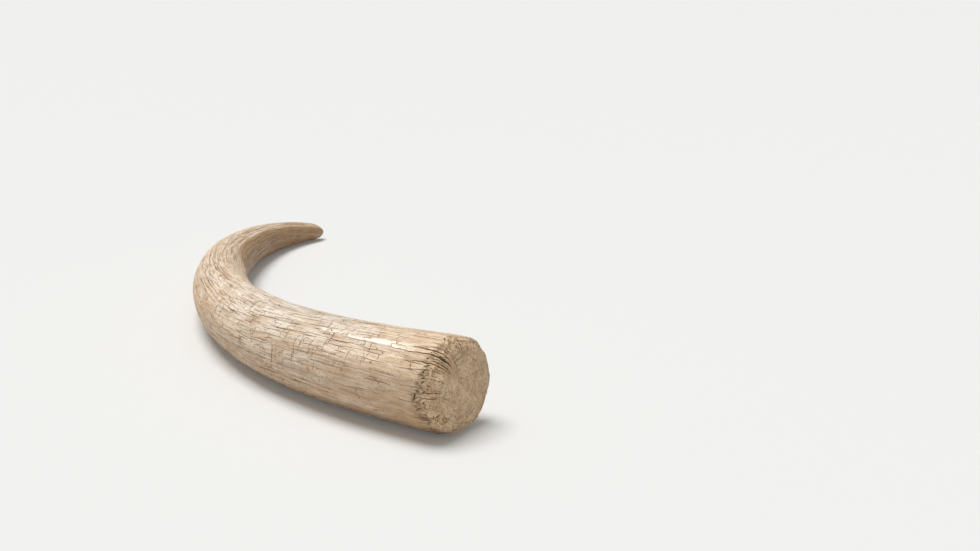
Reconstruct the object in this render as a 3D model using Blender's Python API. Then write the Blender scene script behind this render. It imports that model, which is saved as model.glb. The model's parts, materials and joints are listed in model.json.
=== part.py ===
"""A mammoth tusk lying on its side: a solid with drying cracks, a blunt tip and a flat, chipped broken face.

Run it with: blender --background --python part.py, or from Blender's text editor.
Units are metres and +Z is up. The origin is on the floor under the middle of the tusk's bounding box.

The skin is drawn flat first, as a long tapering strip. One way is the distance along the tusk from the broken
face, and the other is the distance round it from its top line, so the strip's two long edges meet along the
underside. The cracks and the points between them are laid on the strip, which is then cut into triangles and
wrapped round the bent axis.
"""

import math
from dataclasses import dataclass

import bmesh
import bpy
import numpy as np
from mathutils import Vector, noise
from mathutils.geometry import delaunay_2d_cdt

# The whole tusk
AXIS_LENGTH = 1.9185  # along the middle line, from the broken face to the tip
BASE_RADIUS = 0.102
STEADY_TAPER = 0.537  # share of the base radius that is lost evenly along the length
TIP_TAPER = 0.245  # a further share, lost almost wholly near the tip
TIP_TAPER_POWER = 8
TIP_ROUNDING = 0.043  # length of the blunt rounded end
BASE_HEADING = math.radians(147.66)  # from the broken face into the tusk, measured from +X
BEND_SHARES = (0.0, 0.12, 0.35, 0.60, 0.82, 1.0)  # of the length
BEND_CURVATURES = (-0.2, 0.80, 0.95, 0.70, 1.00, 3.9)  # one over the bend radius there, turning clockwise
AXIS_STEPS = 2000

# Swellings of the surface
OVAL_SHARE = 0.012  # how far the round section is out of true
OVAL_TURN = 0.7
FLUTE_DEPTH = 0.0011
LUMP_DEPTH = 0.0016
LUMP_LENGTH = 0.16  # along the tusk
LUMP_WIDTH = 0.045  # round it

# The chipped rim of the broken face. Angles are from the top line, positive towards the inside of the bend.
RIM_ROUNDING = 0.0060  # how far the rim is worn below the skin, at the broken face
RIM_ROUNDING_LENGTH = 0.065
RIM_SHARPEST_AT = math.radians(118)  # the rim is hardly worn there
RIM_SHARPNESS = 3  # above 1, the sharp part of the rim is shorter
CHIP_SETBACK_LEAST = 0.009  # from the broken face to the edge of the sound skin
CHIP_SETBACK_MOST = 0.047
CHIP_DROP_LEAST = 0.0012  # how far the chipped rim is below the skin, at the broken face
CHIP_DROP_MOST = 0.0070
CHIP_WIDEST_AT = math.radians(-108)
CHIP_SPREAD = 0.75  # below 1, the wide part of the chipped rim reaches further round
CHIP_STEP_SHARE = 0.42  # of the drop, taken at once at the edge of the skin
CHIP_STEP_WIDTH = 0.0035
CHIP_JAGS = ((7, 0.0034, 0.4), (16, 0.0030, 2.1), (27, 0.0022, 4.4))  # waves round the rim, height, phase
CHIP_LEAST_JAGS = 0.35  # share of the jags' height left where the rim is hardly chipped

# Long drying cracks, which follow one another in lanes side by side round the tusk
CRACK_SEED = 11
LANES = 15
LANE_JITTER = 0.16  # share of the distance between lanes
LANE_STARTS = (0.05, 0.16)  # distance of a lane's first crack from the broken face
HALF_OF_LANES_END = 1.25  # nearer the tip, only every second lane goes on
LONG_LENGTHS = (0.15, 0.40)
LONG_GAPS = (0.012, 0.050)
LONG_STATION = 0.030  # distance between the points of a long crack
LONG_DEPTHS = (0.0022, 0.0046)
LONG_HALF_WIDTHS = (0.0012, 0.0021)
LONG_WANDERS = ((9, 0.0050), (37, 0.0022), (90, 0.0012))  # waves per metre times 2 pi, and height
CRACK_TIP_POWER = 0.6  # below 1, a crack keeps its depth nearer its ends
UNDERSIDE_MARGIN = math.radians(9)  # the strip's edges stay whole this far to each side of the underside line

# Short checks across the grain, from one lane to the next
CROSS_CRACKS = 90
CROSS_TRIES = 5400
CROSS_STARTS_AT = 0.10
CROSS_REACH = 1.45  # they stop this far along
CROSS_SPACING = 0.026
CROSS_STATION = 0.011
CROSS_DEPTHS = (0.0015, 0.0028)
CROSS_HALF_WIDTHS = (0.0009, 0.0014)
CROSS_ROUGHNESS = 0.0022
CROSS_SLANT = 0.010

# Splits that open at the broken face. Each pair is the size where the rim is least and most chipped.
RIM_CRACKS = 26
RIM_JITTER = 0.07
RIM_STATION = 0.012
RIM_REACHES = (0.016, 0.068)
RIM_DEPTHS = (0.0018, 0.0070)
RIM_HALF_WIDTHS = (0.0011, 0.0027)
RIM_SLANT = 1.1  # radians round the tusk for each metre along it
RIM_ROUGHNESS = 0.006

# Points between the cracks
ROW_STEP = 0.045  # along the tusk
COLUMN_STEP = 0.020  # round it
STRIP_SQUEEZE = 0.40  # the strip is squeezed lengthways, so that its triangles come out long, like the grain
RIM_STEP = 0.011
TIP_COLUMNS = 22
TIP_RINGS = 4
WELD_DISTANCE = 2e-5
SAME_PLACE = 1e-5
CUT_TO_OUTLINES = 1  # the triangulation's own word for leaving out what lies outside the fixed lines

IVORY_COLOUR = (0.62, 0.47, 0.33, 1.0)
IVORY_ROUGHNESS = 0.62
SMOOTH_ANGLE = math.radians(35)


@dataclass
class Crack:
    """A crack on the strip: its points, and how deep and half as wide it is at each."""

    along: np.ndarray
    across: np.ndarray
    depth: np.ndarray
    half_width: np.ndarray


def clear_scene():
    for thing in list(bpy.data.objects):
        bpy.data.objects.remove(thing, do_unlink=True)


def ivory_material():
    """Weathered ivory: pale brown and nearly matt."""
    material = bpy.data.materials.new("weathered_ivory")
    material.use_nodes = True
    shader = material.node_tree.nodes["Principled BSDF"]
    shader.inputs["Base Color"].default_value = IVORY_COLOUR
    shader.inputs["Roughness"].default_value = IVORY_ROUGHNESS
    shader.inputs["Metallic"].default_value = 0.0
    return material


def axis_table():
    """The bent middle line on the floor plan: distances along it, and x, y and heading at each."""
    along = np.linspace(0.0, AXIS_LENGTH, AXIS_STEPS)
    curvature = np.interp(along / AXIS_LENGTH, BEND_SHARES, BEND_CURVATURES)

    def running_sum(values):
        return np.concatenate([[0.0], np.cumsum((values[1:] + values[:-1]) / 2)]) * along[1]

    heading = BASE_HEADING - running_sum(curvature)
    return along, running_sum(np.cos(heading)), running_sum(np.sin(heading)), heading


AXIS = axis_table()


def body_radius(along):
    """The tusk's radius at a distance along it, before the tip is rounded off."""
    share = np.asarray(along) / AXIS_LENGTH
    return BASE_RADIUS * (1 - STEADY_TAPER * share - TIP_TAPER * share**TIP_TAPER_POWER)


def tip_rounding(along):
    """1 along the tusk, falling to 0 over the rounded tip as an ellipse does."""
    share = np.clip((np.asarray(along) - (AXIS_LENGTH - TIP_ROUNDING)) / TIP_ROUNDING, 0, 1)
    return np.sqrt(1 - share**2)


def swelling(along, angle):
    """How far the sound skin stands above the plain round taper: an oval, shallow flutes and lumps."""
    radius = body_radius(along)
    oval = OVAL_SHARE * radius * np.cos(2 * angle + OVAL_TURN)
    flutes = FLUTE_DEPTH * (np.cos(7 * angle + 3 * along + 1.1) + 0.7 * np.cos(11 * angle - 5 * along))
    sideways, upward = radius * np.sin(angle), radius * np.cos(angle)
    places = np.stack([along / LUMP_LENGTH, sideways / LUMP_WIDTH, upward / LUMP_WIDTH], axis=-1)
    lumps = LUMP_DEPTH * np.array([noise.noise(Vector(place)) for place in places])
    return oval + (flutes + lumps) * radius / BASE_RADIUS


def chip_share(angle):
    """1 where the rim is most chipped, 0 on the other side of the tusk."""
    return (0.5 + 0.5 * np.cos(angle - CHIP_WIDEST_AT)) ** CHIP_SPREAD


def rim_wear(angle):
    """How far the rim is worn below the skin at the broken face, before it is chipped."""
    sharp = (0.5 + 0.5 * np.cos(angle - RIM_SHARPEST_AT)) ** RIM_SHARPNESS
    return RIM_ROUNDING * (1 - sharp)


def chip_setback(angle):
    """Distance from the broken face to the jagged edge of the sound skin."""
    plain = CHIP_SETBACK_LEAST + (CHIP_SETBACK_MOST - CHIP_SETBACK_LEAST) * chip_share(angle)
    jags = sum(height * np.sin(waves * angle + phase) for waves, height, phase in CHIP_JAGS)
    return plain + jags * (CHIP_LEAST_JAGS + (1 - CHIP_LEAST_JAGS) * chip_share(angle))


def chip_drop(along, angle):
    """How far the chipped rim lies below the skin: a step at the skin's edge, then a slope to the face."""
    foot = chip_setback(angle) - CHIP_STEP_WIDTH
    full = CHIP_DROP_LEAST + (CHIP_DROP_MOST - CHIP_DROP_LEAST) * chip_share(angle)
    step = full * CHIP_STEP_SHARE * np.clip(1 - (along - foot) / CHIP_STEP_WIDTH, 0, 1)
    slope = full * (1 - CHIP_STEP_SHARE) * np.clip(1 - along / foot, 0, 1)
    wear = rim_wear(angle) * np.clip(1 - along / RIM_ROUNDING_LENGTH, 0, 1) ** 2
    return step + slope + wear


def crack(along, across, depth, half_width):
    """A crack that is deepest in its middle and runs out at both ends."""
    swell = np.sin(math.pi * np.linspace(0, 1, len(along))) ** CRACK_TIP_POWER
    return Crack(along, across, depth * swell, half_width * swell)


def long_crack(start, length, lane_angle, draw):
    """A drying crack that runs with the grain and wanders a little from side to side."""
    along = start + np.linspace(0, length, max(4, round(length / LONG_STATION) + 1))
    phases = (lane_angle, *draw.uniform(0, 2 * math.pi, 2))
    waves = zip(LONG_WANDERS, phases)
    wander = sum(height * np.sin(along * count + phase) for (count, height), phase in waves)
    most = math.pi - UNDERSIDE_MARGIN
    angle = np.clip(lane_angle + wander / BASE_RADIUS, -most, most)
    slimmer = float(body_radius(start)) / BASE_RADIUS
    depth = draw.uniform(*LONG_DEPTHS) * slimmer
    half_width = draw.uniform(*LONG_HALF_WIDTHS) * math.sqrt(slimmer)
    return crack(along, angle * body_radius(along), depth, half_width)


def lane_angles(draw):
    """Where the lanes of long cracks lie round the tusk."""
    half = math.pi - UNDERSIDE_MARGIN
    places = np.arange(LANES) + 0.5 + draw.uniform(-LANE_JITTER, LANE_JITTER, LANES)
    return -half + 2 * half * places / LANES


def long_cracks(draw):
    """The long cracks of each lane, one list for each."""
    lanes = []
    for number, angle in enumerate(lane_angles(draw)):
        lane = []
        start = draw.uniform(*LANE_STARTS)
        last = AXIS_LENGTH - 2 * TIP_ROUNDING if number % 2 else HALF_OF_LANES_END
        while start < last - LONG_LENGTHS[0]:
            length = min(draw.uniform(*LONG_LENGTHS), last - start)
            lane.append(long_crack(start, length, angle, draw))
            start += length + draw.uniform(*LONG_GAPS)
        lanes.append(lane)
    return lanes


def lane_at(lane, place):
    """Where round the tusk a lane's crack is at this distance along it, or None beyond their ends."""
    for one in lane:
        if one.along[0] + CROSS_STATION < place < one.along[-1] - CROSS_STATION:
            return float(np.interp(place, one.along, one.across))
    return None


def cross_cracks(lanes, draw):
    """Short checks across the grain from one long crack to its neighbour, densest on the thick half."""
    cracks = []
    taken = [[] for _ in lanes]
    for _ in range(CROSS_TRIES):
        if len(cracks) == CROSS_CRACKS:
            break
        place = draw.uniform(CROSS_STARTS_AT, CROSS_REACH) * draw.uniform(0.6, 1.0)
        number = int(draw.integers(len(lanes) - 1))
        low, high = lane_at(lanes[number], place), lane_at(lanes[number + 1], place)
        crowded = any(abs(place - old) < CROSS_SPACING for old in taken[number])
        if low is None or high is None or crowded:
            continue
        taken[number].append(place)
        share = np.linspace(0, 1, max(4, round((high - low) / CROSS_STATION) + 1))
        along = place + draw.normal(0, CROSS_ROUGHNESS, len(share))
        along += draw.uniform(-CROSS_SLANT, CROSS_SLANT) * share
        depth, half_width = draw.uniform(*CROSS_DEPTHS), draw.uniform(*CROSS_HALF_WIDTHS)
        cracks.append(crack(along, low + (high - low) * share, depth, half_width))
    return cracks


def rim_cracks(draw):
    """Splits that open at the broken face and make its rim ragged, deepest where the rim is most chipped."""

    def sized(sizes, share):
        return sizes[0] + (sizes[1] - sizes[0]) * share

    cracks = []
    for number in range(RIM_CRACKS):
        angle = 2 * math.pi * (number + 0.5) / RIM_CRACKS - math.pi + draw.uniform(-RIM_JITTER, RIM_JITTER)
        if abs(angle) > math.pi - UNDERSIDE_MARGIN:
            continue
        share = float(chip_share(angle))
        reach = sized(RIM_REACHES, share) * draw.uniform(0.55, 1.2)
        along = np.arange(-reach, reach, RIM_STATION)
        turned = angle + draw.uniform(-RIM_SLANT, RIM_SLANT) * along
        turned += draw.normal(0, RIM_ROUGHNESS, len(along))
        depth = sized(RIM_DEPTHS, share) * draw.uniform(0.5, 1.2)
        half_width = sized(RIM_HALF_WIDTHS, share) * draw.uniform(0.6, 1.2)
        cracks.append(crack(along, turned * body_radius(along), depth, half_width))
    return cracks


def all_cracks():
    draw = np.random.default_rng(CRACK_SEED)
    lanes = long_cracks(draw)
    return [one for lane in lanes for one in lane] + cross_cracks(lanes, draw) + rim_cracks(draw)


def lips(one):
    """The two edges of a crack on the strip, without its ends, which they share with its bottom."""
    run, rise = np.gradient(one.along), np.gradient(one.across)
    side = one.half_width / np.hypot(run, rise)
    for sign in (1, -1):
        yield (one.along - sign * rise * side)[1:-1], (one.across + sign * run * side)[1:-1]


def depth_in(one, along, across):
    """How deep one crack is at each of these points of the strip."""
    run, rise = np.diff(one.along), np.diff(one.across)
    offset_along = along[:, None] - one.along[:-1]
    offset_across = across[:, None] - one.across[:-1]
    share = np.clip((offset_along * run + offset_across * rise) / (run**2 + rise**2), 0, 1)
    distance = np.hypot(offset_along - share * run, offset_across - share * rise)
    nearest = distance.argmin(axis=1)
    rows = np.arange(len(along))
    share, distance = share[rows, nearest], distance[rows, nearest]
    depth = one.depth[nearest] * (1 - share) + one.depth[nearest + 1] * share
    half_width = one.half_width[nearest] * (1 - share) + one.half_width[nearest + 1] * share
    return depth * np.clip(1 - distance / np.maximum(half_width, SAME_PLACE), 0, 1)


def crack_depth(along, across, cracks):
    """How deep the cracks are at each point of the strip. Where two meet, the deeper one counts."""
    deepest = np.zeros(len(along))
    for one in cracks:
        reach = one.half_width.max()
        in_length = (along > one.along.min() - reach) & (along < one.along.max() + reach)
        in_width = (across > one.across.min() - reach) & (across < one.across.max() + reach)
        near = np.flatnonzero(in_length & in_width)
        if len(near):
            deepest[near] = np.maximum(deepest[near], depth_in(one, along[near], across[near]))
    return deepest


class Strip:
    """The points and fixed lines of the flat strip, gathered before it is cut into triangles."""

    def __init__(self):
        self.points = []
        self.lines = []

    def add(self, along, across):
        first = len(self.points)
        self.points += list(zip(along, across))
        return list(range(first, len(self.points)))

    def line(self, indices):
        self.lines += list(zip(indices, indices[1:]))


def strip_rows():
    """Distances along the tusk of the rows of points: its ends, the chipped rim's lines, the skin's rows."""
    last = AXIS_LENGTH - TIP_ROUNDING
    edge = float(chip_setback(math.pi))
    sound = np.linspace(edge, last, round((last - edge) / ROW_STEP) + 1)
    return np.concatenate([[0.0, edge - CHIP_STEP_WIDTH], sound])


def add_outline(strip, rows):
    """The strip's border: the rim, one long edge, the ring where the tip starts, and the other long edge."""
    half = math.pi * body_radius(rows)
    rim = np.linspace(-half[0], half[0], round(2 * half[0] / RIM_STEP) + 1)
    tip = np.linspace(half[-1], -half[-1], TIP_COLUMNS + 1)
    border = strip.add(np.zeros(len(rim)), rim)
    border += strip.add(rows[1:-1], half[1:-1])
    border += strip.add(np.full(len(tip), rows[-1]), tip)
    border += strip.add(rows[-2:0:-1], -half[-2:0:-1])
    return border


def add_chip_lines(strip):
    """The jagged edge of the sound skin, and the foot of the step below it."""
    angles = np.linspace(-math.pi, math.pi, round(2 * math.pi * BASE_RADIUS / RIM_STEP) + 1)[1:-1]
    for back in (0.0, CHIP_STEP_WIDTH):
        along = chip_setback(angles) - back
        strip.line(strip.add(along, angles * body_radius(along)))


def add_cracks(strip, cracks):
    """Each crack's bottom line and its two lips."""
    for one in cracks:
        bottom = strip.add(one.along, one.across)
        strip.line(bottom)
        for lip_along, lip_across in lips(one):
            strip.line([bottom[0], *strip.add(lip_along, lip_across), bottom[-1]])


def add_lattice(strip, rows):
    """Staggered rows of points on the sound skin, left out where another point is close."""
    fixed = np.array(strip.points) * (STRIP_SQUEEZE, 1)
    for number, row in enumerate(rows[2:-1]):
        radius = float(body_radius(row))
        columns = round(2 * math.pi * radius / COLUMN_STEP)
        angles = 2 * math.pi * (np.arange(columns) + 0.5 * (number % 2) + 0.25) / columns - math.pi
        gaps = np.hypot(row * STRIP_SQUEEZE - fixed[:, 0], (angles * radius)[:, None] - fixed[:, 1])
        angles = angles[(gaps.min(axis=1) > COLUMN_STEP / 2) & (row > chip_setback(angles))]
        strip.add(np.full(len(angles), row), angles * radius)


def strip_triangles(cracks):
    """The strip's points, as distances along and round the tusk, and its triangles."""
    strip = Strip()
    rows = strip_rows()
    border = add_outline(strip, rows)
    add_chip_lines(strip)
    add_cracks(strip, cracks)
    add_lattice(strip, rows)
    flat = [Vector((along * STRIP_SQUEEZE, across)) for along, across in strip.points]
    cut = delaunay_2d_cdt(flat, strip.lines, [border], CUT_TO_OUTLINES, 1e-7)
    points = np.array(cut[0], float) / (STRIP_SQUEEZE, 1)
    # A crack that opens at the broken face is laid from beyond it, and what it adds there is left off.
    triangles = [tuple(triangle) for triangle in cut[2] if points[list(triangle), 0].mean() > 0]
    return points[:, 0], points[:, 1], triangles


def tip_cap(along, angle):
    """Rings that close the rounded tip, from the strip's last ring on: distances, angles and faces."""
    last = AXIS_LENGTH - TIP_ROUNDING
    ring = np.flatnonzero(np.abs(along - last) < SAME_PLACE)
    ring = ring[np.argsort(angle[ring])]
    columns = len(ring)
    shares = np.sin(np.linspace(0, math.pi / 2, TIP_RINGS + 1))[1:]
    cap_along = np.repeat(last + TIP_ROUNDING * shares, columns)
    cap_angle = np.tile(angle[ring], TIP_RINGS)
    new = len(along) + np.arange(TIP_RINGS * columns).reshape(TIP_RINGS, columns)
    numbers = np.vstack([ring, new])
    faces = [
        (numbers[r, c], numbers[r, c + 1], numbers[r + 1, c + 1], numbers[r + 1, c])
        for r in range(TIP_RINGS)
        for c in range(columns - 1)
    ]
    return cap_along, cap_angle, faces


def wrapped(along, angle, sunk):
    """Strip points in space: on the skin, less how far each is sunk, round the bent axis on the floor."""
    table_along, table_x, table_y, table_heading = AXIS
    x = np.interp(along, table_along, table_x)
    y = np.interp(along, table_along, table_y)
    heading = np.interp(along, table_along, table_heading)
    radius = (body_radius(along) + swelling(along, angle) - sunk) * tip_rounding(along)
    sideways = radius * np.sin(angle)
    upward = body_radius(along) + radius * np.cos(angle)
    return np.stack([x + sideways * np.sin(heading), y - sideways * np.cos(heading), upward], axis=1)


def centred(points, faces):
    """The points moved so that the origin is on the floor under the middle of the faces' box."""
    used = points[sorted({number for face in faces for number in face})]
    low, high = used.min(axis=0), used.max(axis=0)
    return points - [(low[0] + high[0]) / 2, (low[1] + high[1]) / 2, low[2]]


def closed_mesh(points, faces):
    """A mesh of these faces with the strip's long edges joined and the broken face filled in flat."""
    shape = bmesh.new()
    corners = [shape.verts.new(point) for point in points]
    for face in faces:
        shape.faces.new([corners[int(number)] for number in face])
    bmesh.ops.remove_doubles(shape, verts=shape.verts[:], dist=WELD_DISTANCE)
    bmesh.ops.dissolve_degenerate(shape, edges=shape.edges[:], dist=WELD_DISTANCE)
    loose = [corner for corner in shape.verts if not corner.link_faces]
    bmesh.ops.delete(shape, geom=loose, context="VERTS")
    rim = [edge for edge in shape.edges if edge.is_boundary]
    bmesh.ops.edgeloop_fill(shape, edges=rim)
    bmesh.ops.recalc_face_normals(shape, faces=shape.faces[:])
    if shape.calc_volume(signed=True) < 0:
        bmesh.ops.reverse_faces(shape, faces=shape.faces[:])
    mesh = bpy.data.meshes.new("tusk")
    shape.to_mesh(mesh)
    shape.free()
    return mesh


def make_tusk():
    """The whole tusk, as one object."""
    cracks = all_cracks()
    along, across, faces = strip_triangles(cracks)
    angle = across / body_radius(along)
    sunk = chip_drop(along, angle) + crack_depth(along, across, cracks)
    cap_along, cap_angle, cap_faces = tip_cap(along, angle)
    along = np.concatenate([along, cap_along])
    angle = np.concatenate([angle, cap_angle])
    sunk = np.concatenate([sunk, np.zeros(len(cap_along))])
    faces += cap_faces
    mesh = closed_mesh(centred(wrapped(along, angle, sunk), faces), faces)
    mesh.shade_smooth()
    mesh.set_sharp_from_angle(angle=SMOOTH_ANGLE)
    mesh.materials.append(ivory_material())
    tusk = bpy.data.objects.new("tusk", mesh)
    bpy.context.scene.collection.objects.link(tusk)


def main():
    clear_scene()
    make_tusk()


main()
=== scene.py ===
"""Looks of a mammoth tusk that lies on its side: cracked skin, a chipped rim, a broken face and a blunt tip.

The skin is drawn flat first, as a long tapering sheet. One way is the distance along the tusk from the
broken face, and the other is the distance round it from its top line, so the sheet's two long edges meet
along the underside. Cracks and the points between them are laid on the sheet, which is then cut into
triangles and wrapped round the bent axis. The broken face is a round sheet of its own, cut in the same way
inside the rim.

Lengths are in metres, angles in radians, and +Z is up. An angle round the tusk is taken from its top line,
and is positive towards the inside of the bend.
"""

import json
import logging
import math
from dataclasses import dataclass, field, fields
from enum import Enum
from functools import cached_property
from typing import Any, Callable, Iterator

import bpy
import numpy as np
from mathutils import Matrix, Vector, noise
from mathutils.geometry import delaunay_2d_cdt
from mathutils.kdtree import KDTree


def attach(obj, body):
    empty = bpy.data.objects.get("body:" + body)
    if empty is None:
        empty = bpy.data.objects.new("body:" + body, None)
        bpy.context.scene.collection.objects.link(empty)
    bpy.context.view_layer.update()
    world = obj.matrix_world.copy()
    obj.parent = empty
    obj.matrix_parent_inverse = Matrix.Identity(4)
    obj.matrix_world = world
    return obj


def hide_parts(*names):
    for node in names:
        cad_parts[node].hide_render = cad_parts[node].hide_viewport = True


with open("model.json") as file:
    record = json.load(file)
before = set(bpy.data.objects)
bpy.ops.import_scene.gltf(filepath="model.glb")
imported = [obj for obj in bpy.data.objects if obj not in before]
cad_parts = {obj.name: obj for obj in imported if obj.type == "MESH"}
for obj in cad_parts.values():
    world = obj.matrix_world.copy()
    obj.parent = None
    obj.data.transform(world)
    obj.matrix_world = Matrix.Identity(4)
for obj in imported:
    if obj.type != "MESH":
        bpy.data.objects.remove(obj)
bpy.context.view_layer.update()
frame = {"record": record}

Array = np.ndarray
Chance = np.random.Generator
Colour = tuple[float, float, float, float]
Place = tuple[float, float]
RadiusAt = Callable[[Any], Array]
Range = tuple[float, float]

SAME_PLACE = 1e-6
FULL_TURN = 2 * math.pi
log = logging.getLogger("mammoth tusk")


def noise_at(places: Array) -> Array:
    """Smooth noise.

    Args:
        places: one row of three coordinates for each place.

    Returns:
        A value from about -1 to 1 for each place.
    """
    return np.array([noise.noise(Vector(place)) for place in places])


def grain_noise(along: Array, angle: Array, radius: Array, size: Range) -> Array:
    """Smooth noise on the straightened tusk.

    Args:
        along: distances from the broken face.
        angle: angles round the tusk.
        radius: distances from the middle line.
        size: how long and how wide the noise's lumps are.

    Returns:
        A value from about -1 to 1 for each point.
    """
    length, width = size
    sideways, upward = off_middle(radius, angle)
    return noise_at(np.stack([along / length, sideways / width, upward / width], axis=-1))


def off_middle(radius: Any, angle: Any) -> tuple[Array, Array]:
    """Offsets sideways and upward at a distance from the middle line, at an angle."""
    return radius * np.sin(angle), radius * np.cos(angle)


def smooth_step(values: Array) -> Array:
    """Values clipped to 0 to 1, with soft ends."""
    clipped = np.clip(values, 0.0, 1.0)
    return clipped * clipped * (3 - 2 * clipped)


def between(sizes: Range, share: Any) -> Any:
    """A size between two: the first where the share is 0, the second where it is 1."""
    return sizes[0] + (sizes[1] - sizes[0]) * share


def lobe(angle: Array, middle: float, power: float) -> Array:
    """1 at a middle angle, falling to 0 on the other side of the tusk."""
    return (0.5 + 0.5 * np.cos(angle - middle)) ** power


def spaced(start: float, end: float, step: float, least: int = 4) -> Array:
    """Evenly spaced values about a step apart, with both ends, and at least so many."""
    return np.linspace(start, end, max(least, round((end - start) / step) + 1))


def placed(name: str, data: Any) -> bpy.types.Object:
    """Adds an object to the scene."""
    made = bpy.data.objects.new(name, data)
    bpy.context.scene.collection.objects.link(made)
    return made


@dataclass(frozen=True)
class TuskForm:
    """The plain tusk: a bent, tapering axis on the floor, and a slightly swollen round skin."""

    base_place: Place
    axis_length: float = 1.9185
    base_radius: float = 0.102
    steady_taper: float = 0.537
    tip_taper: float = 0.245
    tip_taper_power: int = 8
    tip_rounding: float = 0.043
    base_heading: float = math.radians(147.66)
    bend_shares: tuple[float, ...] = (0.0, 0.12, 0.35, 0.60, 0.82, 1.0)
    bend_curvatures: tuple[float, ...] = (-0.2, 0.80, 0.95, 0.70, 1.00, 3.9)
    axis_steps: int = 2000
    oval_share: float = 0.012
    oval_turn: float = 0.7
    flute_depth: float = 0.0011
    lump_depth: float = 0.0016
    lump_size: Range = (0.16, 0.045)
    skin_allowance: float = 0.0004

    @cached_property
    def axis(self) -> tuple[Array, Array, Array, Array]:
        """Follows the middle line over the floor.

        Returns:
            The distances, and the x, y and heading at each.
        """
        along = np.linspace(0.0, self.axis_length, self.axis_steps)
        curvature = np.interp(along / self.axis_length, self.bend_shares, self.bend_curvatures)

        def running_sum(values: Array) -> Array:
            """The integral of values along the axis."""
            return np.concatenate([[0.0], np.cumsum((values[1:] + values[:-1]) / 2)]) * along[1]

        heading = self.base_heading - running_sum(curvature)
        x = self.base_place[0] + running_sum(np.cos(heading))
        y = self.base_place[1] + running_sum(np.sin(heading))
        return along, x, y, heading

    def radius(self, along: Array) -> Array:
        """The tusk's radius at distances along it, before the tip is rounded off.

        Args:
            along: distances from the broken face.

        Returns:
            The radius at each.
        """
        share = np.asarray(along) / self.axis_length
        tip_share = share**self.tip_taper_power
        return self.base_radius * (1 - self.steady_taper * share - self.tip_taper * tip_share)

    def rounding(self, along: Array) -> Array:
        """1 along the tusk, falling to 0 over the rounded tip as an ellipse does.

        Args:
            along: distances from the broken face.

        Returns:
            A share of the radius at each.
        """
        start = self.axis_length - self.tip_rounding
        share = np.clip((np.asarray(along) - start) / self.tip_rounding, 0, 1)
        return np.sqrt(1 - share**2)

    def swelling(self, along: Array, angle: Array) -> Array:
        """How far the sound skin stands above the plain round taper.

        Args:
            along: distances from the broken face.
            angle: angles round the tusk.

        Returns:
            The height of an oval, shallow flutes and lumps at each point.
        """
        radius = self.radius(along)
        oval = self.oval_share * radius * np.cos(2 * angle + self.oval_turn)
        waves = np.cos(7 * angle + 3 * along + 1.1) + 0.7 * np.cos(11 * angle - 5 * along)
        lumps = self.lump_depth * grain_noise(along, angle, radius, self.lump_size)
        return oval + (self.flute_depth * waves + lumps) * radius / self.base_radius

    def wrapped(self, along: Array, angle: Array, sunk: Array, pushed: Array) -> Array:
        """Points of the flat sheet in space.

        Args:
            along: distances from the broken face.
            angle: angles round the tusk.
            sunk: how far each point lies below the sound skin.
            pushed: how far each point is moved along the axis, away from the broken face.

        Returns:
            One row of x, y and z for each point.
        """
        radius = self.radius(along) + self.swelling(along, angle) - sunk - self.skin_allowance
        offsets = off_middle(radius * self.rounding(along), angle)
        return self.on_section(along + pushed, self.radius(along), *offsets)

    def on_section(self, along: Array, middle_height: Array, sideways: Array, upward: Array) -> Array:
        """Points of upright cross-sections in space.

        Args:
            along: distance of each point's section from the broken face.
            middle_height: height of each section's middle above the floor.
            sideways: offset towards the inside of the bend.
            upward: offset above the middle.

        Returns:
            One row of x, y and z for each point.
        """
        table_along, table_x, table_y, table_heading = self.axis
        x = np.interp(along, table_along, table_x)
        y = np.interp(along, table_along, table_y)
        heading = np.interp(along, table_along, table_heading)
        x, y = x + sideways * np.sin(heading), y - sideways * np.cos(heading)
        return np.stack([x, y, middle_height + upward], axis=-1)


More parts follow.
